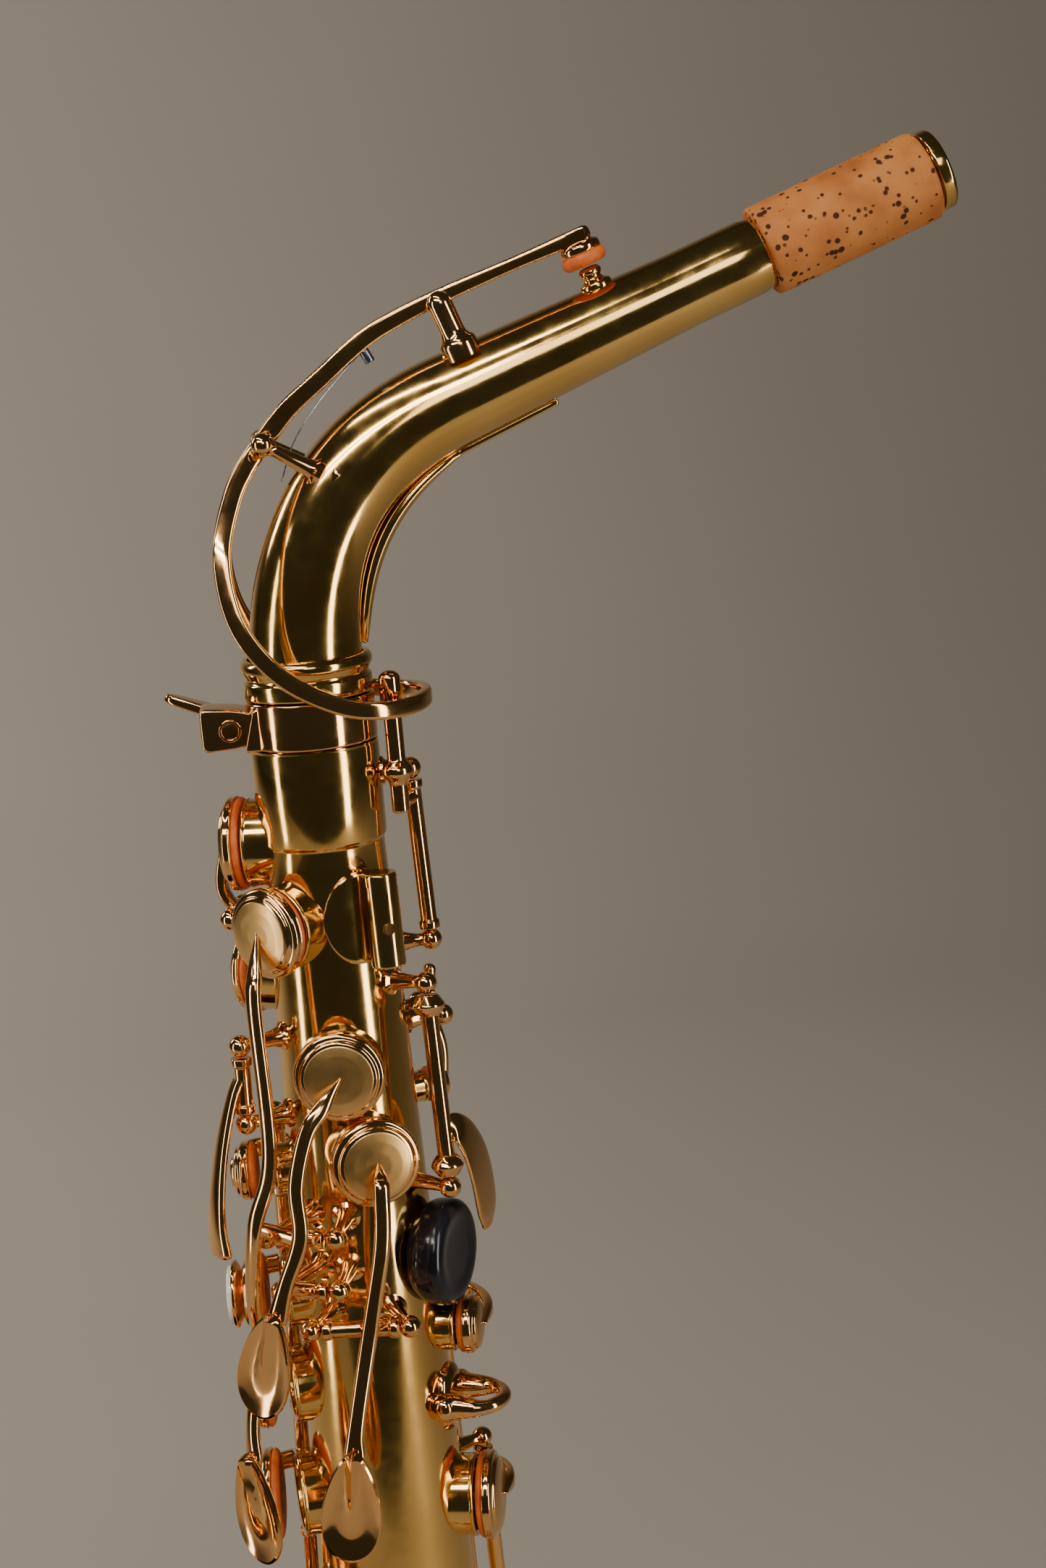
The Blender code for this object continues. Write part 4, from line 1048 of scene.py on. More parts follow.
# ------------------------------------------------------------------ neck
@dataclass
class Neck:
    """Neck tube with its cork, collar, brace, posts and the octave key that rides on it."""

    base: float = 2.6
    bend_end: tuple[float, float] = (35.0, 57.9)
    handles: tuple[float, float] = (32.0, 22.0)
    slope: float = 20.1
    straight: float = 111.5
    radius: float = 11.95
    taper: float = 0.033
    tip_radius: float = 7.0
    cork_length: float = 38.0
    ring_length: float = 3.2
    pip_place: float = 36.5
    pivot: tuple[float, float, float] = (-4.4, 0.0, 52.5)
    pivot_post: float = 7.2
    wall: float = 0.9
    strap: tuple[tuple[float, float], ...] = ((-4.4, 52.5), (1.2, 58.6), (8.0, 63.9), (17.8, 71.3),
                                              (25.5, 75.2), (36.0, 79.3), (50.0, 84.0), (61.0, 87.6),
                                              (64.6, 88.9))
    loop: tuple[tuple[float, float, float], ...] = (
        (-4.4, 3.0, 52.5), (-8.4, 5.4, 47.6), (-11.6, 8.0, 42.0), (-14.6, 12.3, 32.4), (-14.2, 15.5, 22.0),
        (-11.0, 17.0, 13.6), (-4.0, 17.5, 5.4), (6.0, 17.2, -0.4), (14.0, 15.4, -2.3), (20.5, 10.8, -2.5),
        (23.6, 5.0, -2.3))

    @property
    def ahead(self) -> Array:
        """Direction of the straight end."""
        return np.array([math.cos(math.radians(self.slope)), 0.0, math.sin(math.radians(self.slope))])

    @property
    def above(self) -> Array:
        """Direction out of the top of the straight end."""
        return np.array([-math.sin(math.radians(self.slope)), 0.0, math.cos(math.radians(self.slope))])

    @property
    def bare(self) -> float:
        """Length of the straight end up to the cork."""
        return self.straight - self.cork_length - self.ring_length

    def on(self, distance: float, lift: float = 0.0) -> Array:
        """Point along the straight end, lifted above its centre line."""
        bend = np.array([self.bend_end[0], 0.0, self.bend_end[1]])
        return bend + self.ahead * distance + self.above * lift

    def run(self, steps: int = 72) -> tuple[Array, Array]:
        """Centre line and radius: a cubic Bezier bend, then the straight, with a steady taper along it all.

        Args:
            steps: points on the bend.

        Returns:
            Points as rows, and the outside radius at each.
        """
        start = UP * self.base
        end = self.on(0.0)
        t = np.linspace(0.0, 1.0, steps)[:, None]
        first, second = start + UP * self.handles[0], end - self.ahead * self.handles[1]
        bend = start * (1 - t) ** 3 + first * 3 * t * (1 - t) ** 2
        bend = bend + second * 3 * t * t * (1 - t) + end * t ** 3
        straight = end + np.linspace(0.0, self.straight - 0.2, 24)[1:, None] * self.ahead
        points = np.vstack([bend, straight])
        travelled = np.concatenate([[0.0], np.cumsum(np.linalg.norm(np.diff(points, axis=0), axis=1))])
        radius = np.maximum(self.radius - self.taper * travelled, self.tip_radius + self.wall)
        radius[travelled > travelled[-1] - self.cork_length - self.ring_length] = self.tip_radius
        return points, radius

    def pipe(self, points: Array, radius: Array, wall: float) -> Array:
        """Rings round a centre line in the plane Y = 0, outside first and back along the inside.

        Args:
            points: centre line.
            radius: outside radius at each point.
            wall: thickness.

        Returns:
            Grid of points, a closed loop of rings.
        """
        tangent = unit(np.gradient(points, axis=0))
        side = np.cross(tangent, Y_AXIS)
        ring = circle(96)
        spokes = ring[None, :, :1] * Y_AXIS + ring[None, :, 1:] * side[:, None]
        outer = points[:, None] + radius[:, None, None] * spokes
        inner = points[:, None] + (radius - wall)[:, None, None] * spokes
        return np.vstack([outer, inner[::-1]])

    def make(self) -> None:
        """Make every piece of the neck."""
        points, radius = self.run()
        make_piece("neck_skin", Shell().add(self.pipe(points, radius, self.wall), wrap=True), TUBE_BRASS,
                   "neck", ("neck_tube",))
        # Dark disc inside the tip: painted shade for the neck's bore.
        inner = Shell().add(lathe([(0.1, 0.0), (6.0, 0.0), (6.0, -12.0), (0.1, -12.0)],
                                  self.on(self.straight - 9), self.ahead))
        make_piece("neck_inside_painted_shade", inner, BORE_PAINTED_SHADE, "neck")
        collar = rounded([(12.1, 8.6), (13.0, 8.5), (13.75, 7.7), (13.85, 6.4), (13.2, 5.2), (12.9, 4.6),
                          (13.0, 4.1), (13.5, 3.7), (13.5, 0.35), (11.9, 0.3), (11.9, -21.5), (11.0, -21.5),
                          (11.0, 2.3), (12.0, 2.4)], 0.55, closed=True)
        make_piece("neck_collar_turned", Shell().add(lathe(collar, ORIGIN, UP, sides=96), wrap=True),
                   TUBE_BRASS, "neck", ("neck_collar",))
        self.make_cork()
        self.make_brace(points, radius)
        self.make_posts()
        self.make_octave_key()

    def make_cork(self) -> None:
        """Cork sleeve and the ring at the tip."""
        length = self.cork_length
        sleeve = rounded([(7.2, length - GAP), (8.9, length - GAP), (9.4, length - 1.4), (9.4, 0.8),
                          (9.0, GAP), (7.2, GAP)], 0.8, closed=True)
        make_piece("neck_cork_sleeve", Shell().add(lathe(sleeve, self.on(self.bare), self.ahead, sides=96),
                                                   wrap=True), SHEET_CORK, "neck", ("neck_cork",))
        ring = rounded([(7.1, 3.2), (7.8, 3.2), (8.45, 2.7), (8.45, GAP), (7.1, GAP)], 0.45, closed=True)
        make_piece("neck_tip_ring", Shell().add(lathe(ring, self.on(self.bare + length), self.ahead,
                                                      sides=96), wrap=True), TUBE_BRASS, "neck",
                   ("neck_end_ring",))

    def make_brace(self, points: Array, radius: Array) -> None:
        """Leaf-shaped strip under the bend, a raised flat bar that runs out to a point at both ends.

        Args:
            points: centre line of the neck.
            radius: outside radius at each point.
        """
        chosen = (points[:, 2] > 10.5) & (points[:, 0] < 66.0)
        line, size = points[chosen][::4], radius[chosen][::4]
        tangent = unit(np.gradient(line, axis=0))
        under = np.stack([tangent[:, 2], np.zeros(len(line)), -tangent[:, 0]], axis=1)
        share = np.linspace(0.0, 1.0, len(line))
        swell = np.sin(np.pi * np.minimum(share * 1.15, 1.0)) ** 0.6
        width = 0.5 + 4.0 * swell * (1.0 - 0.45 * share)
        depth = 0.7 + 0.9 * swell
        path = line + under * (size + depth * 0.55 + GAP)[:, None]
        make_piece("neck_brace_leaf", Shell().add(sweep(path, width, depth, under, 0.8, 28, 4)), TUBE_BRASS,
                   "neck", ("neck_brace",))

    def make_posts(self) -> None:
        """Octave pip, strap guide and the saddle with its two ball-headed posts."""
        pip = rounded([(3.6, 7.4), (3.4, 9.0), (2.3, 9.5), (1.8, 10.1), (2.35, 10.8), (2.5, 11.5),
                       (1.9, 12.3), (1.0, 12.4), (0.9, 7.4)], 0.4, closed=True)
        place = self.on(self.pip_place)
        make_piece("neck_pip_turned", Shell().add(lathe(pip, place, self.above, sides=40), wrap=True),
                   TUBE_BRASS, "neck", ("neck_octave_pip",))
        base = self.on(5.5) - Y_AXIS * 4.9
        dome = np.radians(np.linspace(4.0, 88.0, 9))
        guide = np.vstack([[(4.0, 7.0), (4.0, 9.8), (3.8, 10.6), (3.2, 11.1), (2.75, 11.8), (2.6, 12.8),
                            (2.6, 18.4)], np.stack([2.6 * np.cos(dome), 18.4 + 2.8 * np.sin(dome)], axis=1)])
        make_piece("neck_guide_turned", Shell().add(lathe(guide, base, self.above, sides=40)), KEY_BRASS,
                   "neck", ("neck_guide_post",))
        saddle = Shell()
        pivot = np.array(self.pivot)
        for side in (-1, 1):
            foot = np.array([7.4, side * 6.2, 45.2])
            head = pivot + Y_AXIS * side * self.pivot_post
            saddle.add(post(foot + (head - foot) * 0.12, head, 2.4, 3.0))
            saddle.add(sweep([(9.5, side * 8.7, 46.6), (5.6, side * 7.4, 43.2), (1.6, side * 6.6, 38.6),
                              (-1.9, side * 5.8, 32.5)], [2.2, 2.9, 2.3, 0.4], [0.6, 0.8, 0.7, 0.3],
                             [(-0.5, side * 0.8, 0.5), (-0.5, side * 0.75, 0.35), (-0.75, side * 0.6, 0.2),
                              (-0.8, side * 0.55, 0.1)], 0.8))
        make_piece("neck_saddle_posts", saddle, KEY_BRASS, "neck", ("neck_pivot_saddle",))

    def make_octave_key(self) -> None:
        """Strap over the neck, the loop that splits off at the pivot, the pad and the flat spring."""
        pivot = np.array(self.pivot)
        shell = Shell()
        reach = Y_AXIS * (self.pivot_post - 2.2 - GAP)
        shell.add(Hinge(pivot - reach, pivot + reach).tube())
        strap = np.array([(x, 0.0, z) for x, z in self.strap])
        centre = np.array([38.0, 0.0, 18.0])
        wide = np.array([1.2, 1.3, 1.35, 1.35, 1.35, 1.35, 1.35, 1.6, 2.5])
        deep = np.array([2.1, 2.0, 1.95, 1.9, 1.8, 1.6, 1.35, 1.6, 1.6])
        shell.add(sweep(strap, wide, deep, unit(strap - centre), 0.45, 28))
        loop = np.array(self.loop)
        near, far = loop * np.array([1, -1, 1]), loop[::-1]
        ring = np.vstack([near, [(24.4, 0.0, -2.2)], far])
        hub = np.array([14.0, 0.0, 34.0])
        looks = unit((ring - hub) * np.array([1.0, 0.0, 1.0]))
        level = np.clip((ring[:, :1] - 12.0) / 8.0, 0.0, 1.0)
        looks = looks * (1 - level) + np.array([0.0, 0.0, -1.0]) * level
        shell.add(sweep(ring, 1.15, 1.85, looks, 0.5, 28))
        seat = self.on(self.pip_place, 12.7)
        cup = rounded([(0.05, 5.3), (2.8, 5.2), (4.3, 4.4), (4.4, 2.9), (3.8, 2.6), (0.05, 2.6)], 0.5)
        shell.add(lathe(cup, seat, self.above, sides=40))
        make_piece("neck_octave_strap", shell, KEY_BRASS, "neck_octave_key", ("neck_octave_key",))
        pad = rounded([(0.05, 2.9), (4.2, 2.9), (4.75, 2.1), (4.7, 0.9), (4.0, 0.1), (0.05, 0.0)], 0.6)
        make_piece("neck_octave_kid", Shell().add(lathe(pad, seat, self.above, sides=40)), PAD_LEATHER,
                   "neck_octave_key", ("neck_octave_pad",))
        spring = sweep([(17.0, 0.0, 68.6), (8.0, 0.0, 59.8), (2.0, 0.0, 52.0), (-1.2, 0.0, 44.5)], 0.9, 0.16,
                       unit(np.array([-1.0, 0.0, 1.0])), 0.7, 16)
        screw = lathe(rounded([(0.05, 1.6), (1.1, 1.6), (1.1, -1.2), (0.05, -1.2)], 0.3),
                      np.array([18.4, 0.0, 68.2]), np.array([0.45, 0.0, -0.9]), sides=20)
        make_piece("neck_flat_spring", Shell().add(spring).add(screw), BLUED_STEEL, "neck_octave_key")


# ------------------------------------------------------------------ body
@dataclass
class Receiver:
    """Clamp that grips the neck, and its wing screw."""

    screw: tuple[float, float, float] = (-17.0, 0.0, -5.3)
    tilt: float = 22.0

    def make(self) -> None:
        """Make the clamp band with its lug and gusset, a dark disc of painted shade in the eye of the screw,
        and the wing screw.
        """
        band = rounded([(12.2, -0.05), (13.3, 0.0), (13.5, -0.4), (13.5, -9.3), (13.3, -9.7), (12.2, -9.7)],
                       0.3, closed=True)
        shell = Shell().add(lathe(band, ORIGIN, UP, sides=96), wrap=True)
        outline = rounded([(11.0, -0.3), (11.0, -9.6), (18.5, -9.3), (23.0, -8.2), (24.6, -5.3), (23.2, -2.4),
                           (18.5, -1.0)], 1.6, closed=True)
        flat = np.stack([outline[:, 0] - 17.0, outline[:, 1] + 5.3], axis=1)
        shell.add(slab(flat, 9.0, np.array(self.screw), -Y_AXIS, UP, 0.7))
        foot = np.array([(-3.0, -4.9), (3.6, -4.7), (1.2, 4.0), (-1.8, 4.9)])
        gusset = rounded(foot[::-1], 0.8, closed=True)
        shell.add(slab(gusset * np.array([-1.0, 1.0]), 15.6, np.array([-10.8, 0.0, -5.0]), -Y_AXIS, UP, 0.6))
        make_piece("receiver_clamp_band", shell, KEY_BRASS, "horn", ("receiver_clamp",))
        centre = np.array(self.screw)
        # Dark disc in the screw's eye: painted shade for the hole.
        eye = lathe(rounded([(0.05, 4.75), (1.5, 4.75), (1.9, 4.3), (1.9, 3.0), (0.05, 3.0)], 0.1), centre,
                    -Y_AXIS, sides=28)
        make_piece("clamp_screw_eye_painted_shade", Shell().add(eye), BORE_PAINTED_SHADE, "horn")
        rim = lathe(rounded([(1.75, 4.9), (2.3, 4.9), (2.4, 4.4), (1.75, 4.4)], 0.15, closed=True), centre,
                    -Y_AXIS, sides=36)
        make_piece("clamp_screw_rim", Shell().add(rim, wrap=True), KEY_BRASS, "horn")
        turn = math.radians(self.tilt)
        wing_side = np.array([-math.cos(turn), 0.0, math.sin(turn)])
        stem = lathe(rounded([(0.05, 3.9), (1.4, 3.9), (1.4, 4.8), (2.7, 4.8), (2.7, 9.4), (2.2, 10.5),
                              (0.05, 10.5)], 0.3), centre, Y_AXIS, sides=36)
        ring = circle(56)
        wing = np.stack([ring[:, 0] * 14.3 * (0.62 + 0.38 * np.abs(ring[:, 0])), ring[:, 1] * 4.6
                         * (0.72 + 0.28 * np.abs(ring[:, 0]))], axis=1)
        plate = slab(wing[:, ::-1], 2.0, centre + Y_AXIS * 14.2, np.cross(Y_AXIS, wing_side), wing_side, 0.8)
        make_piece("clamp_wing_screw", Shell().add(stem).add(plate), KEY_BRASS, "clamp_screw",
                   ("clamp_screw",))


@dataclass
class BodyTube:
    """Body tube with its socket, and what is soldered on it besides the keywork."""

    wall: float = 0.9
    rest_angle: float = -28.0
    rest_height: float = -122.6
    bow_radius: float = 5.4
    hook_angle: float = 352.0
    hook_height: float = -318.0
    lyre_angle: float = 306.0

    def make(self) -> None:
        """Make the tube, the rests, the strap ring and the lyre holder."""
        outer = [(13.5, -9.95), (13.5, -10.3), (13.42, -10.5), (13.5, -10.8), (13.5, -29.9), (13.3, -30.4),
                 (12.95, -30.7)]
        lower = np.linspace(-31.2, BODY.bottom, 60)
        skin = np.vstack([outer, np.stack([[BODY.radius(z) for z in lower], lower], axis=1)])
        inner = np.stack([skin[::-1, 0] - self.wall - 0.4, skin[::-1, 1]], axis=1)
        make_piece("body_skin", Shell().add(lathe(np.vstack([skin, inner]), ORIGIN, UP, sides=160),
                                            wrap=True), TUBE_BRASS, "horn", ("body_tube",))
        self.make_thumb_rest()
        self.make_strap_ring()
        self.make_hook()
        self.make_lyre_holder()

    def make_thumb_rest(self) -> None:
        """Black rest: a round boss with a bevelled rim and a shallow dish."""
        near = BODY.radius(self.rest_height) + GAP
        steps = rounded([(0.05, near + 6.2), (6.0, near + 6.4), (8.8, near + 6.9), (10.2, near + 6.7),
                         (11.3, near + 5.6), (11.5, near + 4.0), (11.3, near + 1.2), (9.5, near - 1.6),
                         (0.05, near - 1.6)], 0.9)
        make_piece("thumb_rest_boss", Shell().add(lathe(steps, UP * self.rest_height,
                                                        radial(self.rest_angle), sides=96)), BLACK_PLASTIC,
                   "horn", ("thumb_rest",))

    def make_strap_ring(self) -> None:
        """Bow of round wire on a soldered foot, its two ends flared into the foot."""
        outward = radial(STRAP_ANGLE)
        side = np.cross(UP, outward)
        foot = BODY.place(STRAP_ANGLE, STRAP_HEIGHT)
        turn = np.radians(np.linspace(-14.0, 194.0, 15))[:, None]
        arc = STRAP_HOLE + outward * self.bow_radius * np.sin(turn) + side * self.bow_radius * np.cos(turn)
        path = np.vstack([[foot + outward * 0.6 + side * 5.6], [foot + outward * 2.4 + side * 5.0], arc,
                          [foot + outward * 2.4 - side * 5.0], [foot + outward * 0.6 - side * 5.6]])
        thick = np.array([3.4, 2.9] + [2.4, 2.1, 1.8] + [1.6] * 9 + [1.8, 2.1, 2.4] + [2.9, 3.4])
        plate = lathe(rounded([(0.05, 1.9), (4.6, 1.7), (6.4, 0.6), (6.6, -1.0), (0.05, -1.0)], 0.6), foot,
                      outward, outline=pillow(2.0, 2.3, 0.9))
        make_piece("strap_ring_bow", Shell().add(sweep(path, thick, per=6)).add(plate), KEY_BRASS, "horn",
                   ("strap_ring",))

    def make_hook(self) -> None:
        """Thumb hook: a screwed plate and a finger of oval section curled downwards."""
        angle, height = self.hook_angle, self.hook_height
        plate = slab(pillow(11.0, 26.0, 0.55), 2.2, BODY.place(angle, height, 1.6), radial(angle), UP, 0.6)
        finger = arm([BODY.place(angle, height + rise, lift) for rise, lift in
                      ((3, 2.0), (3, 8.0), (1, 14.0), (-4, 18.0), (-11, 19.0))], 4.2, 2.0, 0.75)
        make_piece("thumb_hook_finger", Shell().add(plate).add(finger), KEY_BRASS, "horn", ("thumb_hook",))

    def make_lyre_holder(self) -> None:
        """Barrel on a saddle plate, with dark pieces of painted shade in its bore and its screw hole."""
        angle = self.lyre_angle
        outward = radial(angle)
        low, high = BODY.place(angle, -56.0, 4.6), BODY.place(angle, -36.0, 4.6)
        barrel = lathe(rounded([(1.9, 0.0), (3.4, 0.0), (3.6, 0.4), (3.6, 19.6), (3.4, 20.0), (1.9, 20.0)],
                               0.2, closed=True), low, high - low, sides=40)
        turn = np.radians(np.linspace(angle - 44.0, angle + 6.0, 15))
        band = np.stack([np.cos(turn), np.sin(turn), np.zeros(15)], axis=1)
        share = np.linspace(0.0, 1.0, 15)
        tall = 9.6 * np.sqrt(np.clip(1 - (1 - share * 1.6).clip(0, 1) ** 2, 0.03, 1))
        saddle = sweep(band * (BODY.radius(-46.0) + 0.35) + UP * -46.0, tall, 0.65, band, 0.4, 32, 3, False)
        make_piece("lyre_barrel", Shell().add(barrel, wrap=True).add(saddle), TUBE_BRASS, "horn",
                   ("lyre_holder",))
        # Dark discs in the screw hole and the barrel's bore: painted shade.
        hole = BODY.place(angle - 4, -47.4, 8.0)
        painted_hole_shade = Shell().add(lathe(rounded([(0.05, 0.25), (1.3, 0.25), (1.3, -0.8), (0.05, -0.8)], 0.1), hole,
                                 outward, sides=24))
        painted_hole_shade.add(lathe([(0.05, 20.05), (1.95, 20.05), (1.95, -0.05), (0.05, -0.05)], low, high - low,
                       sides=24))
        make_piece("lyre_holes_painted_shade", painted_hole_shade, BORE_PAINTED_SHADE, "horn")


@dataclass
class BowAndBell:
    """Bow, its two rings, the flared bell with its rolled rim, the brace and the guards."""

    shop: Workshop
    bow_start: float = -470.6
    bow_stub: float = 2.0
    brace_height: float = -266.0
    low_c_turn: float = 40.0

    def make(self) -> None:
        """Make them all."""
        turns = np.linspace(0.0, 180.0, 73)
        points = np.vstack([[UP * self.bow_start], BELL.bow_point(turns)])
        points = np.vstack([points, points[-1] + UP * self.bow_stub])
        radius = np.concatenate([[BELL.bow_size(0)], BELL.bow_size(turns), [BELL.bow_size(180)]])
        make_piece("bow_skin", Shell().add(Neck().pipe(points, radius, BELL.wall), wrap=True), TUBE_BRASS,
                   "horn", ("bow",))
        for name, centre, size in (("bow_ring_body", UP * -470.3, 25.5),
                                   ("bow_ring_bell", BELL.centre(BELL.foot_height), 31.8)):
            steps = rounded([(size, 5.0), (size + 1.2, 5.0), (size + 1.9, 3.6), (size + 1.2, 2.8),
                             (size + 1.2, -2.8), (size + 1.9, -3.6), (size + 1.2, -5.0), (size, -5.0)], 0.5,
                            closed=True)
            make_piece(name + "_turned", Shell().add(lathe(steps, centre, UP, sides=128), wrap=True),
                       TUBE_BRASS, "horn", (name,))
        self.make_bell()
        self.make_brace()
        self.make_guards()

    def make_bell(self) -> None:
        """Shell between two offset profiles, closed by a bead at the rim."""
        heights = np.linspace(4.3, BELL.length, 70)
        outer = np.stack([BELL.radius(BELL.foot_height + heights), heights], axis=1)
        turn = np.radians(np.linspace(-70.0, 190.0, 14))
        bead = np.stack([outer[-1, 0] - 0.3 + 1.7 * np.cos(turn), BELL.length + 0.3 + 1.6 * np.sin(turn)],
                        axis=1)
        inner = np.stack([outer[:, 0] - BELL.wall, heights], axis=1)[::-1]
        axis = unit(np.array([-BELL.lean, 0.0, 1.0]))
        make_piece("bell_skin", Shell().add(lathe(np.vstack([outer, bead, inner]),
                                                  BELL.centre(BELL.foot_height), axis, sides=160),
                                            wrap=True), TUBE_BRASS, "horn", ("bell",))

    def make_brace(self) -> None:
        """Ring on two turned feet between body and bell."""
        near, far = BODY.place(180, self.brace_height, GAP), BELL.place(0, self.brace_height, 1.2)
        middle = (near + far) / 2
        ring = rounded([(4.0, 1.6), (7.6, 1.6), (7.6, -1.6), (4.0, -1.6)], 0.9, closed=True)
        shell = Shell().add(lathe(ring, middle, UP, sides=64), wrap=True)
        for end, way in ((near, 1.0), (far, -1.0)):
            shell.add(lathe(rounded([(4.6, -0.4), (4.2, 0.8), (2.4, 1.8), (2.0, 4.6), (0.05, 4.8)], 0.6), end,
                            X_AXIS * -way, sides=32))
        make_piece("bell_brace_ring", shell, KEY_BRASS, "horn", ("bell_brace",))

    def guard(self, name: str, feet: list[tuple[Array, Array]], crest: float) -> None:
        """Flat rail on turned legs, each foot a point and the direction out of the tube.

        Args:
            name: guard's name, which is also its node.
            feet: foot and direction of each leg.
            crest: rail's height above the feet.
        """
        tops = [foot + outward * crest for foot, outward in feet]
        rail = np.array(tops)
        span = unit(rail[-1] - rail[0]) * 3.0
        rail[0] -= span
        rail[-1] += span
        shell = Shell().add(sweep(rail, 2.6, 1.2, feet[0][1], 0.6, 28))
        for (foot, outward), top in zip(feet, tops):
            length = float(np.linalg.norm(top - foot))
            shell.add(lathe(rounded([(4.0, -1.5), (3.8, 0.8), (2.2, 2.0), (1.6, length * 0.5), (1.7, length),
                                     (0.05, length + 0.6)], 0.8), foot, outward, sides=28))
            shell.add(lathe(rounded([(0.05, 2.2), (3.2, 2.0), (4.2, 1.2), (4.2, -0.8), (0.05, -0.8)], 0.5),
                            top, outward, sides=36))
        make_piece(name + "_rail", shell, KEY_BRASS, "horn", (name,))

    def make_guards(self) -> None:
        """Guards over the cups of the bell, the low E flat and the low C."""
        self.guard("bell_key_guard", [(BELL.place(270, z), -Y_AXIS) for z in (-313.0, -365.5, -414.5)], 22.0)
        self.guard("low_e_flat_guard", [(BODY.place(95, z), radial(95)) for z in (-420.5, -459.5)], 18.0)
        centre = BELL.bow_point(self.low_c_turn)[0]
        turn = math.radians(95.0)
        apart = 22.0
        beside = np.array([-math.sin(turn), 0.0, -math.cos(turn)]) * apart
        slant = apart * math.sin(math.radians(55.0))
        rise = math.sqrt(float(BELL.bow_size(self.low_c_turn)) ** 2 - slant ** 2) - 4.0
        self.guard("low_c_guard", [(centre + beside * way + Y_AXIS * rise, Y_AXIS) for way in (-1, 1)], 31.0)


# ------------------------------------------------------------------ keywork
@dataclass
class PalmKeys:
    """Three palm keys: a cup under a spear-pointed arm, and a leaf with a raised ridge for the palm."""

    shop: Workshop
    width: float = 12.4
    length: float = 25.0

    def make(self) -> None:
        """Make the F, E flat and D keys."""
        self.key("palm_f_key", (224, -46.7, 7.6), ((-6.3, -26.6, -109.6), (-20.5, -21.3, -109.6)), 0.75,
                 [(-18.0, -20.5, -61.0), (-18.0, -24.0, -91.0), (-22.5, -26.5, -105.0),
                  (-24.5, -23.5, -121.0), (-24.5, -19.5, -134.0), (-27.5, -22.0, -150.0)],
                 (-28.7, -25.5, -168.0), 222, 3)
        self.key("palm_e_flat_key", (264, -77.0, 7.6), ((-6.6, -26.8, -121.0), (-18.6, -23.4, -121.0)), 0.5,
                 [(-10.0, -27.0, -86.0), (-13.2, -29.5, -96.0), (-13.5, -30.5, -107.0),
                  (-17.5, -30.5, -117.0)], (-23.4, -30.0, -134.0), 233, 4)
        self.key("palm_d_key", (280, -96.4, 7.6), ((-13.4, -22.3, -131.0), (7.3, -24.9, -131.7)), 0.6,
                 [(4.0, -27.0, -101.0), (2.9, -29.0, -112.0), (-1.4, -30.0, -130.0), (-6.0, -33.5, -148.0)],
                 (-8.8, -37.0, -164.5), 258, 3)

    def key(self, name: str, cup: tuple[float, float, float], balls: tuple, lug: float, route: list,
            touch: tuple, facing: float, joint: int) -> None:
        """Make one key.

        Args:
            name: key's name.
            cup: angle, height and bore of its tone hole.
            balls: heads of its two posts.
            lug: share of the hinge tube where the arm's lug stands.
            route: points of the arm between cup and touch.
            touch: middle of the leaf.
            facing: angle that the leaf looks in.
            joint: which point of the arm the lug meets.
        """
        hole = self.shop.open_hole(body_hole(*cup))
        right, left = (np.array(ball, float) for ball in balls)
        inset = unit(left - right) * 2.5
        hinge = self.shop.stand(Hinge(right + inset, left - inset))
        outward = radial(facing)
        centre = np.array(touch, float)
        line = [np.array(place, float) for place in route]
        along = unit(line[-1] - centre)
        lid = hole.above(GAP + hole.depth)
        first = line[0]
        tip = lid - unit(first - lid) * 1.0 + hole.outward * 0.7
        edge = lid + (first - lid) * 0.5 + hole.outward * 0.8
        points = [tip, edge] + line + [centre + along * self.length * 0.42]
        count = len(points)
        width = np.array([0.2, 1.7] + [1.75] * (count - 3) + [2.3])
        depth = np.array([0.5, 1.3] + [1.25] * (count - 3) + [1.2])
        shell = Shell().add(arm(points, width, depth, 0.85))
        shell.add(self.leaf(centre, outward, along))
        target = points[joint + 1]
        foot = hinge.at(lug)
        shell.add(sweep([foot, (foot + target) / 2, target], [2.0, 1.7, 1.5], power=0.8, round_ends=False))
        finish_key(name, hinge, shell, hole)

    def leaf(self, centre: Array, outward: Array, along: Array) -> Array:
        """Leaf: a shallow dish with a rolled edge and a keel that fades from the arm to the far end.

        The height over the outline at share r of the way out is a flat dish that rises to the edge; the keel
        adds a peak across the middle whose height falls along the leaf.

        Args:
            centre: middle of the leaf.
            outward: direction that it looks in.
            along: direction of the arm.

        Returns:
            Grid of points.
        """
        outline = leaf(self.width, self.length)
        profile = np.array([(0.01, 0.1), (0.12, 0.1), (0.3, 0.05), (0.5, 0.0), (0.7, 0.15), (0.85, 0.5),
                            (0.94, 0.75), (0.99, 0.45), (1.0, -0.2), (0.96, -0.8), (0.8, -1.3), (0.5, -1.6),
                            (0.01, -1.7)])
        rows = lathe(profile, centre, outward, along, outline)
        flat = rows - centre
        side = np.cross(along, outward)
        across, down = flat @ side, flat @ along
        keel = np.clip(1 - np.abs(across) / 1.7, 0, None) * np.clip((down + 5.0) / 10.0, 0, 1) * 1.9
        keel *= (np.arange(len(profile)) < 7)[:, None]
        return rows + keel[..., None] * outward


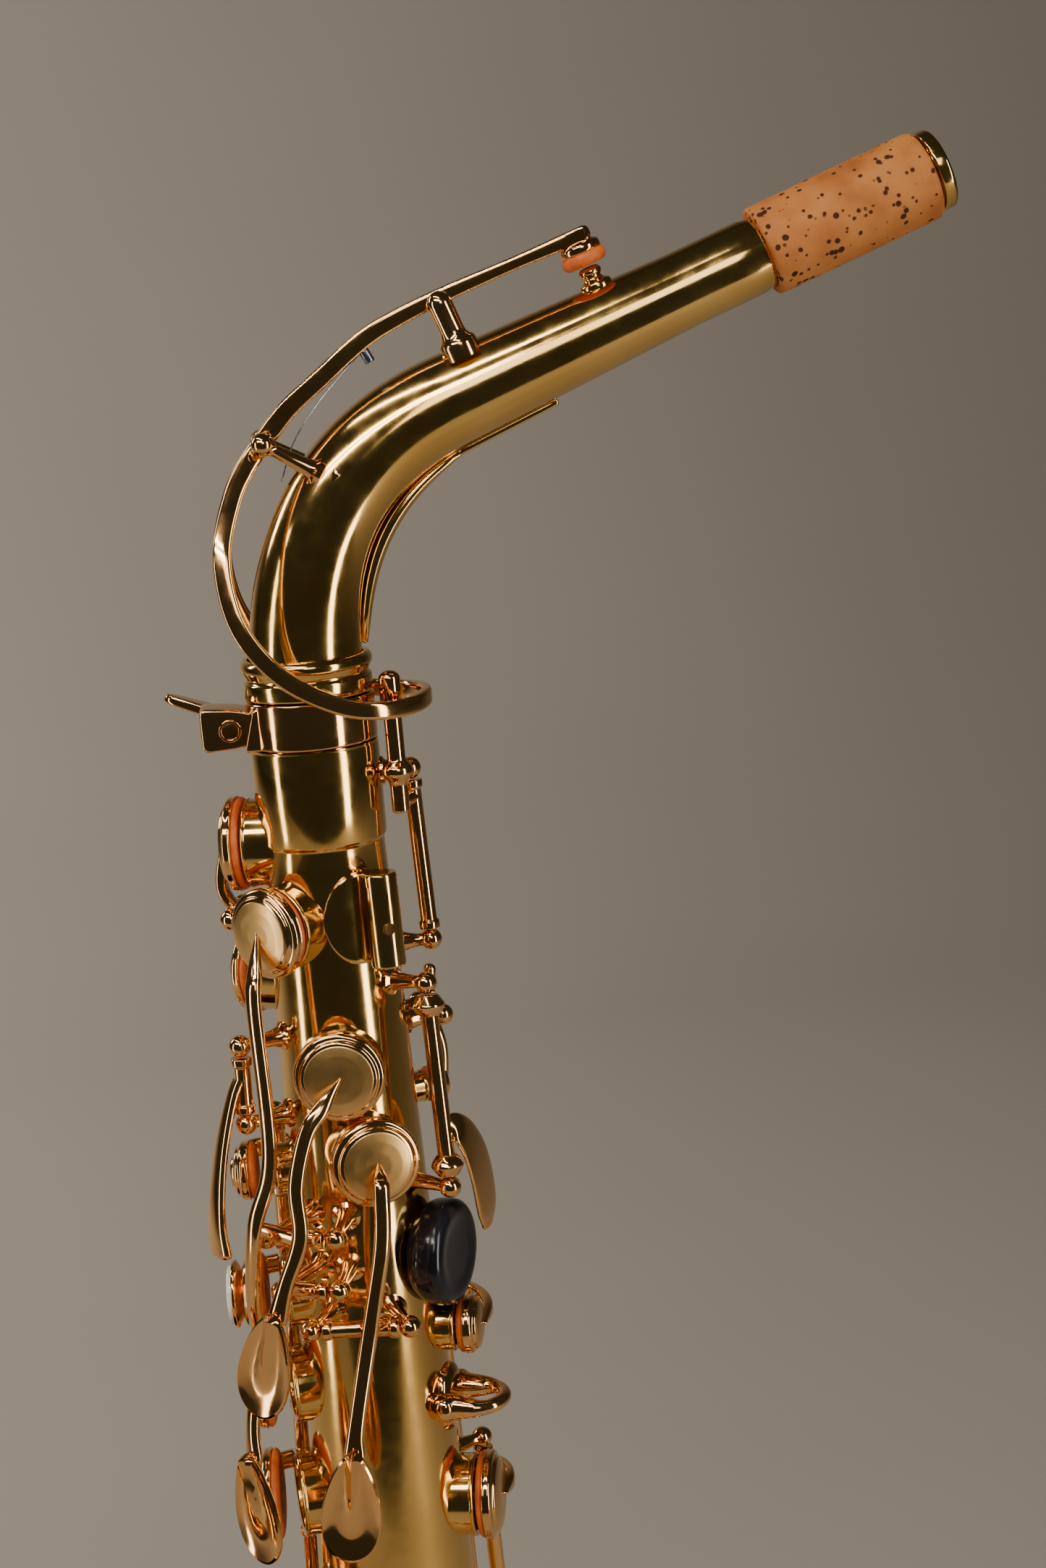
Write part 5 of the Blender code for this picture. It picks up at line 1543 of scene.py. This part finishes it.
@dataclass
class OctaveMechanism:
    """Thumb lever, the pin that works the neck's loop, and the vent on the body."""

    shop: Workshop
    pin: tuple[float, float, float] = (16.6, -5.5, 1.2)

    def make(self) -> None:
        """Make the three pieces."""
        top, bottom = np.array([17.9, -12.8, -61.1]), np.array([18.8, -18.0, -104.6])
        inset = unit(bottom - top) * 2.5
        thumb = self.shop.stand(Hinge(top + inset, bottom - inset))
        shell = Shell().add(sweep([thumb.at(0.74), (21.4, -15.6, -92.5), (24.2, -12.6, -97.5),
                                   (26.0, -10.6, -104.5), (26.8, -9.6, -113.0), (26.6, -9.4, -117.5)],
                                  [2.0, 3.2, 5.0, 6.0, 5.2, 2.6], [1.3, 1.0, 0.9, 0.9, 0.9, 0.7],
                                  [(0.6, -0.8, 0.0), (0.75, -0.6, 0.3), (0.85, -0.45, 0.25), (0.9, -0.4, 0.1),
                                   (0.9, -0.42, 0.0), (0.9, -0.42, 0.0)], 0.8, 32))
        skirt = rounded([(0.05, 0.0), (2.2, 0.0), (3.6, 2.2), (3.0, 3.4), (2.0, 4.6), (0.05, 4.6)], 0.4)
        shell.add(lathe(skirt, thumb.at(0.0), thumb.axis, sides=36))
        shell.add(lathe(skirt, thumb.at(1.0), -thumb.axis, sides=36))
        finish_key("octave_thumb_lever", thumb, shell)

        hinge = self.shop.stand(Hinge(np.array([19.5, -1.0, -20.0]), np.array([20.5, -1.0, -52.5])))
        pin = np.array(self.pin)
        steps = [(0.05, 3.1), (1.2, 2.9), (2.2, 2.0), (2.3, 1.0), (2.3, -5.6), (1.9, -6.2), (1.9, -15.8),
                 (3.2, -17.2), (3.4, -18.6), (2.2, -20.2), (1.9, -21.0), (1.9, -27.0), (0.05, -27.0)]
        shell = Shell().add(lathe(rounded(steps, 0.6), pin, UP, sides=40))
        shell.add(sweep([hinge.at(0.11), (hinge.at(0.11) + pin - UP * 24.7) / 2, pin - UP * 24.7], 1.6))
        finish_key("octave_pin_key", hinge, shell)

        hole = self.shop.open_hole(body_hole(22, -90.0, 2.2))
        rocker = self.shop.stand(crosswise(22, -73.0, 7.0))
        shell = Shell().add(arm([hole.above(GAP + 4.4), BODY.place(22, -82.0, 8.6), rocker.at(0.5),
                                 BODY.place(22, -64.0, 8.0)], 1.6, 1.1))
        finish_key("body_octave_key", rocker, shell, hole)


@dataclass
class UpperRightKeys:
    """High F sharp, high E and the long side keys worked by the right hand."""

    shop: Workshop

    def make(self) -> None:
        """Make the four keys and the front F lever."""
        hole = self.shop.open_hole(body_hole(167, -31.0, 8.1))
        hinge = self.shop.stand(crosswise(167, -46.0, 7.0))
        shell = Shell().add(arm([hole.above(GAP + 4.9), BODY.place(167, -40.0, 9.8), hinge.at(0.5)],
                                [0.5, 1.8, 1.8]))
        finish_key("high_f_sharp_key", hinge, shell, hole)
        self.side_key("high_e_key", (150, -60.0, 7.7), 98, (-58.0, -268.0), -282.0, (8.0, 10.5, 9.5, 8.2))
        self.side_key("side_c_key", (-15, -141.5, 4.4), 48, (-138.5, -292.0), -306.0, (8.0, 10.0, 10.0, 8.2))
        self.side_key("side_b_flat_key", (-14, -182.5, 7.7), 26, (-179.5, -318.0), -332.0,
                      (8.0, 10.0, 10.0, 8.2))
        lever = self.shop.stand(Hinge(np.array([-22.0, -9.0, -74.0]), np.array([-22.3, -9.2, -86.0])))
        shell = Shell().add(arm([lever.at(0.3), (-24.6, -9.8, -82.0), (-27.6, -11.6, -91.0),
                                 (-29.6, -13.9, -100.0), (-30.6, -15.2, -108.0), (-30.4, -15.3, -114.0)],
                                [1.6, 2.0, 2.6, 3.0, 3.6, 4.2], [1.2, 1.1, 1.1, 1.1, 1.2, 1.5], 0.85))
        finish_key("front_f_lever", lever, shell)

    def side_key(self, name: str, cup: tuple[float, float, float], angle: float, ends: tuple[float, float],
                 touch: float, lifts: tuple[float, ...]) -> None:
        """Make a long rod with an arm to its cup and a rounded touch at the foot.

        Args:
            name: key's name.
            cup: angle, height and bore of its tone hole.
            angle: where the rod lies on the body.
            ends: heights of the rod's ends.
            touch: height of the touch's middle.
            lifts: how far the arm's points stand off the body.
        """
        hole = self.shop.open_hole(body_hole(*cup))
        hinge = self.shop.stand(lengthwise(angle, *ends, lift=8.0))
        line = around_body(angle, cup[0], cup[1], lifts)[:-1] + [hole.above(GAP + hole.depth + 0.4)]
        shell = Shell().add(arm(line, [1.7, 1.8, 1.9, 0.5]))
        outward = radial(angle - 16)
        centre = BODY.place(angle - 16, touch, 17.0)
        steps = np.array([(0.01, 1.5), (0.4, 1.4), (0.75, 1.1), (0.95, 0.6), (1.0, -0.1), (0.96, -0.8),
                          (0.8, -1.2), (0.01, -1.3)])
        shell.add(lathe(steps, centre, outward, outline=pillow(12.0, 22.0, 0.7)))
        shell.add(arm([BODY.place(angle, ends[1] + 6, 8.0), BODY.place(angle - 8, ends[1] - 2, 13.0),
                       centre], 2.4, 1.4))
        self.shop.spring(hinge)
        finish_key(name, hinge, shell, hole)


@dataclass
class Stack:
    """Row of open keys on one line of hinge tubes."""

    shop: Workshop
    rod_angle: float
    cup_angle: float
    keys: tuple[tuple, ...]
    opening: float = 11.0

    def make(self) -> None:
        """Make each key: cup, arm round the body, holder and pearl, resting open."""
        for name, height, bore, top, bottom, posts, pearl in self.keys:
            hole = self.shop.open_hole(body_hole(self.cup_angle, height, bore))
            hinge = self.shop.stand(lengthwise(self.rod_angle, top, bottom, posts=posts))
            line = around_body(self.rod_angle, self.cup_angle, height, (7.0, 10.2, 8.6, 8.2))[:-1]
            lid = hole.above(GAP + hole.depth + 0.3)
            shell = Shell().add(arm(line + [lid], [2.0, 2.1, 2.1, 0.8]))
            shell.add(lathe(rounded([(0.05, 1.0), (3.0, 0.9), (3.6, 0.2), (3.6, -0.8), (0.05, -0.8)], 0.4),
                            lid, hole.outward, sides=36))
            self.shop.spring(hinge)
            finish_key(name + "_key", hinge, shell, hole,
                       hinge.opening(hole.above(0), hole.outward, self.opening), hole if pearl else None)


@dataclass
class LittleFingerKeys:
    """G sharp, the bell keys with their table, low E flat and low C."""

    shop: Workshop
    rod_top: float = -268.0
    bell_keys: tuple[tuple, ...] = (
        ("low_b_flat_key", 226, -352.0, -340.0, 17.0, 216, -270.0, 4.5),
        ("low_b_key", 244, -402.0, -390.0, 16.4, 236, -257.0, 4.5),
        ("low_c_sharp_key", 262, -452.0, -440.0, 15.0, 260, -244.0, 0.0))

    def plate(self, centre: Array, outward: Array, width: float, length: float) -> Array:
        """Low rounded plate for a little finger.

        Args:
            centre: middle of the plate.
            outward: direction that it looks in.
            width: full width.
            length: full length.

        Returns:
            Grid of points.
        """
        steps = np.array([(0.01, 1.35), (0.5, 1.3), (0.85, 1.05), (0.97, 0.6), (1.0, 0.0), (0.96, -0.7),
                          (0.8, -1.1), (0.01, -1.2)])
        return lathe(steps, centre, outward, outline=pillow(width, length, 0.6))

    def make(self) -> None:
        """Make them all."""
        hole = self.shop.open_hole(body_hole(205, -246.0, 9.6))
        hinge = self.shop.stand(lengthwise(246, -239.0, -252.0))
        line = around_body(246, 205, -246.0, (7.0, 9.5, 9.5, 8.2))[:-1] + [hole.above(GAP + hole.depth + 0.3)]
        finish_key("g_sharp_key", hinge, Shell().add(arm(line, [2.0, 2.0, 2.0, 0.8])), hole)
        touch = self.shop.stand(lengthwise(262, -212.0, -226.0))
        shell = Shell().add(arm([touch.at(0.6), BODY.place(252, -226.0, 14.0),
                                 BODY.place(244, -230.0, 22.0)], 2.2, 1.3))
        shell.add(self.plate(BODY.place(242, -231.0, 23.0), radial(242), 20.0, 10.0))
        finish_key("g_sharp_touch", touch, shell)
        for row in self.bell_keys:
            self.bell_key(*row)
        self.low_e_flat()
        self.low_c()

    def bell_key(self, name: str, angle: float, bottom: float, height: float, bore: float, table: float,
                 table_height: float, open_turn: float) -> None:
        """Make one long key from the table to a cup on the bell.

        Args:
            name: key's name.
            angle: where its rod lies on the body.
            bottom: height of the rod's foot.
            height: height of the cup.
            bore: radius of the tone hole.
            table: angle of the touch.
            table_height: height of the touch.
            open_turn: degrees that it rests open.
        """
        hole = self.shop.open_hole(ToneHole(BELL.centre(height), radial(270), float(BELL.radius(height)),
                                            bore))
        hinge = self.shop.stand(lengthwise(angle, self.rod_top, bottom))
        lid = hole.above(GAP + hole.depth)
        line = [BODY.place(angle, height, 7.0), BODY.place(angle - 8, height, 15.0) - X_AXIS * 3,
                np.array([lid[0] + 36, lid[1] - 3.0, height]), lid - Y_AXIS * 1.0 + X_AXIS * 10,
                lid - Y_AXIS * 0.6]
        shell = Shell().add(sweep(line, [2.2, 2.3, 2.3, 2.2, 0.6], [1.5, 1.5, 1.5, 1.5, 1.0],
                                  [(-0.3, -0.9, 0.0), (-0.4, -0.9, 0.0), (0.0, -1.0, 0.0), (0.0, -1.0, 0.0),
                                   (0.0, -1.0, 0.0)], 0.65, 28))
        centre = BODY.place(table, table_height, 23.0)
        middle = BODY.place((angle + table) / 2, self.rod_top - 6.0, 15.0)
        shell.add(self.plate(centre, radial(table), 20.0, 10.0))
        shell.add(arm([hinge.at(0.03), middle, centre + (middle - centre) * 0.15], 2.2, 1.4))
        self.shop.spring(hinge)
        swing = hinge.opening(hole.above(0), hole.outward, open_turn) if open_turn else NO_TURN
        finish_key(name, hinge, shell, hole, swing)

    def low_e_flat(self) -> None:
        """Make the low E flat key."""
        hole = self.shop.open_hole(body_hole(95, -440.0, 11.6))
        hinge = self.shop.stand(lengthwise(58, -402.0, -452.0, 8.0))
        line = around_body(58, 95, -440.0, (8.0, 10.5, 9.8, 8.2))[:-1] + [hole.above(GAP + hole.depth + 0.3)]
        shell = Shell().add(arm(line, [2.0, 2.1, 2.1, 0.8]))
        shell.add(arm([hinge.at(0.1), BODY.place(48, -405.0, 14.0), BODY.place(36, -405.0, 20.0)], 2.2, 1.4))
        shell.add(self.plate(BODY.place(34, -405.0, 21.0), radial(34), 20.0, 11.0))
        finish_key("low_e_flat_key", hinge, shell, hole)

    def low_c(self) -> None:
        """Make the low C key, whose cup closes on the bow."""
        centre = BELL.bow_point(40.0)[0]
        hole = self.shop.open_hole(ToneHole(centre, Y_AXIS, float(BELL.bow_size(40.0)), 15.5))
        hinge = self.shop.stand(lengthwise(38, -420.0, -458.0, 8.0))
        lid = hole.above(GAP + hole.depth)
        line = [hinge.at(0.9), BODY.place(50, -462.0, 14.0), np.array([14.0, 38.5, -478.0]),
                lid + Y_AXIS * 1.2 + X_AXIS * 8, lid + Y_AXIS * 0.9]
        shell = Shell().add(sweep(line, [2.2, 2.3, 2.3, 2.2, 0.6], [1.5, 1.5, 1.5, 1.4, 1.0], Y_AXIS, 0.65,
                                  28))
        shell.add(arm([hinge.at(0.1), BODY.place(52, -424.0, 15.5), BODY.place(70, -424.0, 19.0)], 2.2, 1.4))
        shell.add(self.plate(BODY.place(74, -422.0, 21.0), radial(74), 20.0, 11.0))
        finish_key("low_c_key", hinge, shell, hole, hinge.opening(hole.above(0), Y_AXIS, 7.0))


UPPER_STACK = (("upper_c", -102.0, 4.4, -97.0, -110.0, (True, False), False),
               ("b", -130.0, 6.8, -112.0, -137.5, (False, False), True),
               ("bis", -152.0, 7.2, -139.5, -158.0, (False, True), False),
               ("a", -178.0, 8.2, -164.0, -194.0, (False, False), True),
               ("g", -212.0, 9.8, -196.0, -229.0, (False, True), True))
LOWER_STACK = (("f_sharp", -290.0, 11.2, -280.0, -303.0, (True, False), False),
               ("f", -323.0, 11.8, -305.0, -337.5, (False, True), True),
               ("e", -359.0, 12.4, -343.5, -376.0, (False, False), True),
               ("d", -396.0, 13.0, -378.0, -409.0, (False, True), True))


# ------------------------------------------------------------------ room
@dataclass
class Studio:
    """Pale floor that curves up into a wall, soft lamps and the camera."""

    colour: tuple[float, float, float] = (1.0, 0.93, 0.83)
    eye: tuple[float, float, float] = (-8.9, -494.6, 81.5)
    heading: float = -6.0
    pitch: float = 11.95
    roll: float = 4.74
    lens: float = 55.0
    floor: float = -0.398
    wall: float = 2.7
    front: float = -0.8
    bend: float = 1.2
    half_width: float = 5.0
    height: float = 5.0

    def make(self) -> None:
        """Make the cove, the lamps, the sky and the camera."""
        self.make_cove()
        self.make_sky()
        self.lamp("strip_above_a", (-0.5, -0.8, 1.0), (0.0, 0.0, 0.1), (1.1, 0.03), 5.0)
        self.lamp("strip_above_b", (-0.5, -0.95, 0.96), (0.0, 0.0, 0.1), (1.1, 0.03), 5.0)
        self.lamp("strip_above_c", (-0.4, -0.3, 1.2), (0.0, 0.0, 0.1), (1.1, 0.03), 4.0)
        self.lamp("tall_right", (0.85, -0.75, 0.1), (0.0, 0.0, 0.0), (0.2, 1.3), 8.0)
        self.lamp("tall_left", (-1.0, -0.25, 0.0), (0.0, 0.0, 0.0), (0.12, 1.2), 3.5)
        self.lamp("front_fill", (0.1, -1.6, 0.9), (0.0, 0.0, 0.0), (0.5, 0.5), 3.0)
        self.lamp("wall_glow", (-1.3, 0.9, 0.9), (-0.3, 2.3, -0.2), (0.7, 0.7), 24.0)
        self.make_camera()

    def make_sky(self) -> None:
        """Sky whose light on the horn is dim, while the camera sees it pale past the cove's edges."""
        world = bpy.data.worlds.new("dim_room")
        world.use_nodes = True
        tree = world.node_tree
        dim = tree.nodes["Background"]
        dim.inputs["Color"].default_value = (0.03, 0.03, 0.025, 1.0)
        pale = tree.nodes.new("ShaderNodeBackground")
        pale.inputs["Color"].default_value = (0.27, 0.245, 0.215, 1.0)
        path = tree.nodes.new("ShaderNodeLightPath")
        mix = tree.nodes.new("ShaderNodeMixShader")
        tree.links.new(path.outputs["Is Camera Ray"], mix.inputs[0])
        tree.links.new(dim.outputs["Background"], mix.inputs[1])
        tree.links.new(pale.outputs["Background"], mix.inputs[2])
        tree.links.new(mix.outputs["Shader"], tree.nodes["World Output"].inputs["Surface"])
        bpy.context.scene.world = world

    def make_cove(self) -> None:
        """Sheet whose section is a floor, a quarter circle and a wall."""
        turn = np.radians(np.linspace(0.0, 90.0, 25))
        curve = np.stack([self.wall - self.bend * (1.0 - np.sin(turn)), self.bend * (1.0 - np.cos(turn))],
                         axis=1)
        section = np.vstack([[(self.front, 0.0)], curve, [(self.wall, self.height)]])
        across = np.linspace(-self.half_width, self.half_width, 15)
        grid = np.stack([np.repeat(across[None], len(section), 0), np.repeat(section[:, :1], 15, 1),
                         np.repeat(section[:, 1:], 15, 1) + self.floor], axis=2)
        m, n = grid.shape[:2]
        low = np.arange(m - 1)[:, None] * n + np.arange(n - 1)[None]
        faces = np.stack([low, low + 1, low + n + 1, low + n], axis=2).reshape(-1, 4)
        mesh = bpy.data.meshes.new("cove")
        mesh.from_pydata(grid.reshape(-1, 3), [], faces.tolist())
        mesh.materials.append(Wall("cove_paint", Slot.PLASTIC).material())
        mesh.shade_smooth()
        cove = bpy.data.objects.new("cove", mesh)
        bpy.context.scene.collection.objects.link(cove)

    def lamp(self, name: str, place: tuple[float, float, float], aim: tuple[float, float, float],
             size: tuple[float, float], power: float) -> None:
        """Rectangular soft lamp that looks at a point.

        Args:
            name: lamp's name.
            place: its middle in metres.
            aim: point that it faces.
            size: width and height.
            power: watts.
        """
        light = bpy.data.lights.new(name, "AREA")
        light.shape = "RECTANGLE"
        light.size, light.size_y = size
        light.energy = power
        light.color = self.colour
        lamp = bpy.data.objects.new(name, light)
        back = unit(np.array(place) - np.array(aim))
        side = unit(np.cross(UP, back))
        turn = np.stack([side, np.cross(back, side), back], axis=1)
        lamp.matrix_world = Matrix.Translation(place) @ Matrix(turn.tolist()).to_4x4()
        bpy.context.scene.collection.objects.link(lamp)

    def make_camera(self) -> None:
        """Camera that looks along its heading, pitched down and rolled."""
        heading, pitch, roll = (math.radians(turn) for turn in (self.heading, self.pitch, self.roll))
        right = np.array([math.cos(heading), math.sin(heading), 0.0])
        ahead = np.array([-math.sin(heading) * math.cos(pitch), math.cos(heading) * math.cos(pitch),
                          -math.sin(pitch)])
        above = np.cross(right, ahead)
        tilted = math.cos(roll) * right - math.sin(roll) * above
        upright = math.sin(roll) * right + math.cos(roll) * above
        turn = np.stack([tilted, upright, -ahead], axis=1)
        lens = bpy.data.cameras.new("studio_camera")
        lens.sensor_fit = "VERTICAL"
        lens.sensor_height = 36.0
        lens.lens = self.lens
        lens.clip_start = 0.01
        camera = bpy.data.objects.new("studio_camera", lens)
        place = (np.array(self.eye) - STRAP_HOLE) * 0.001
        camera.matrix_world = Matrix.Translation(place.tolist()) @ Matrix(turn.tolist()).to_4x4()
        bpy.context.scene.collection.objects.link(camera)
        bpy.context.scene.camera = camera


def main() -> None:
    """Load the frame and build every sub-assembly on it."""
    logging.basicConfig(level=logging.INFO, format="%(name)s: %(message)s")
    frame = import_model()
    for node in frame["nodes"].values():
        node.data.materials.clear()
        node.data.materials.append(TUBE_BRASS.material())
    shop = Workshop()
    Neck().make()
    Receiver().make()
    BodyTube().make()
    BowAndBell(shop).make()
    PalmKeys(shop).make()
    OctaveMechanism(shop).make()
    UpperRightKeys(shop).make()
    Stack(shop, 140, 186, UPPER_STACK).make()
    Stack(shop, 114, 170, LOWER_STACK).make()
    LittleFingerKeys(shop).make()
    shop.deliver()
    Studio().make()


if __name__ == "__main__":
    main()
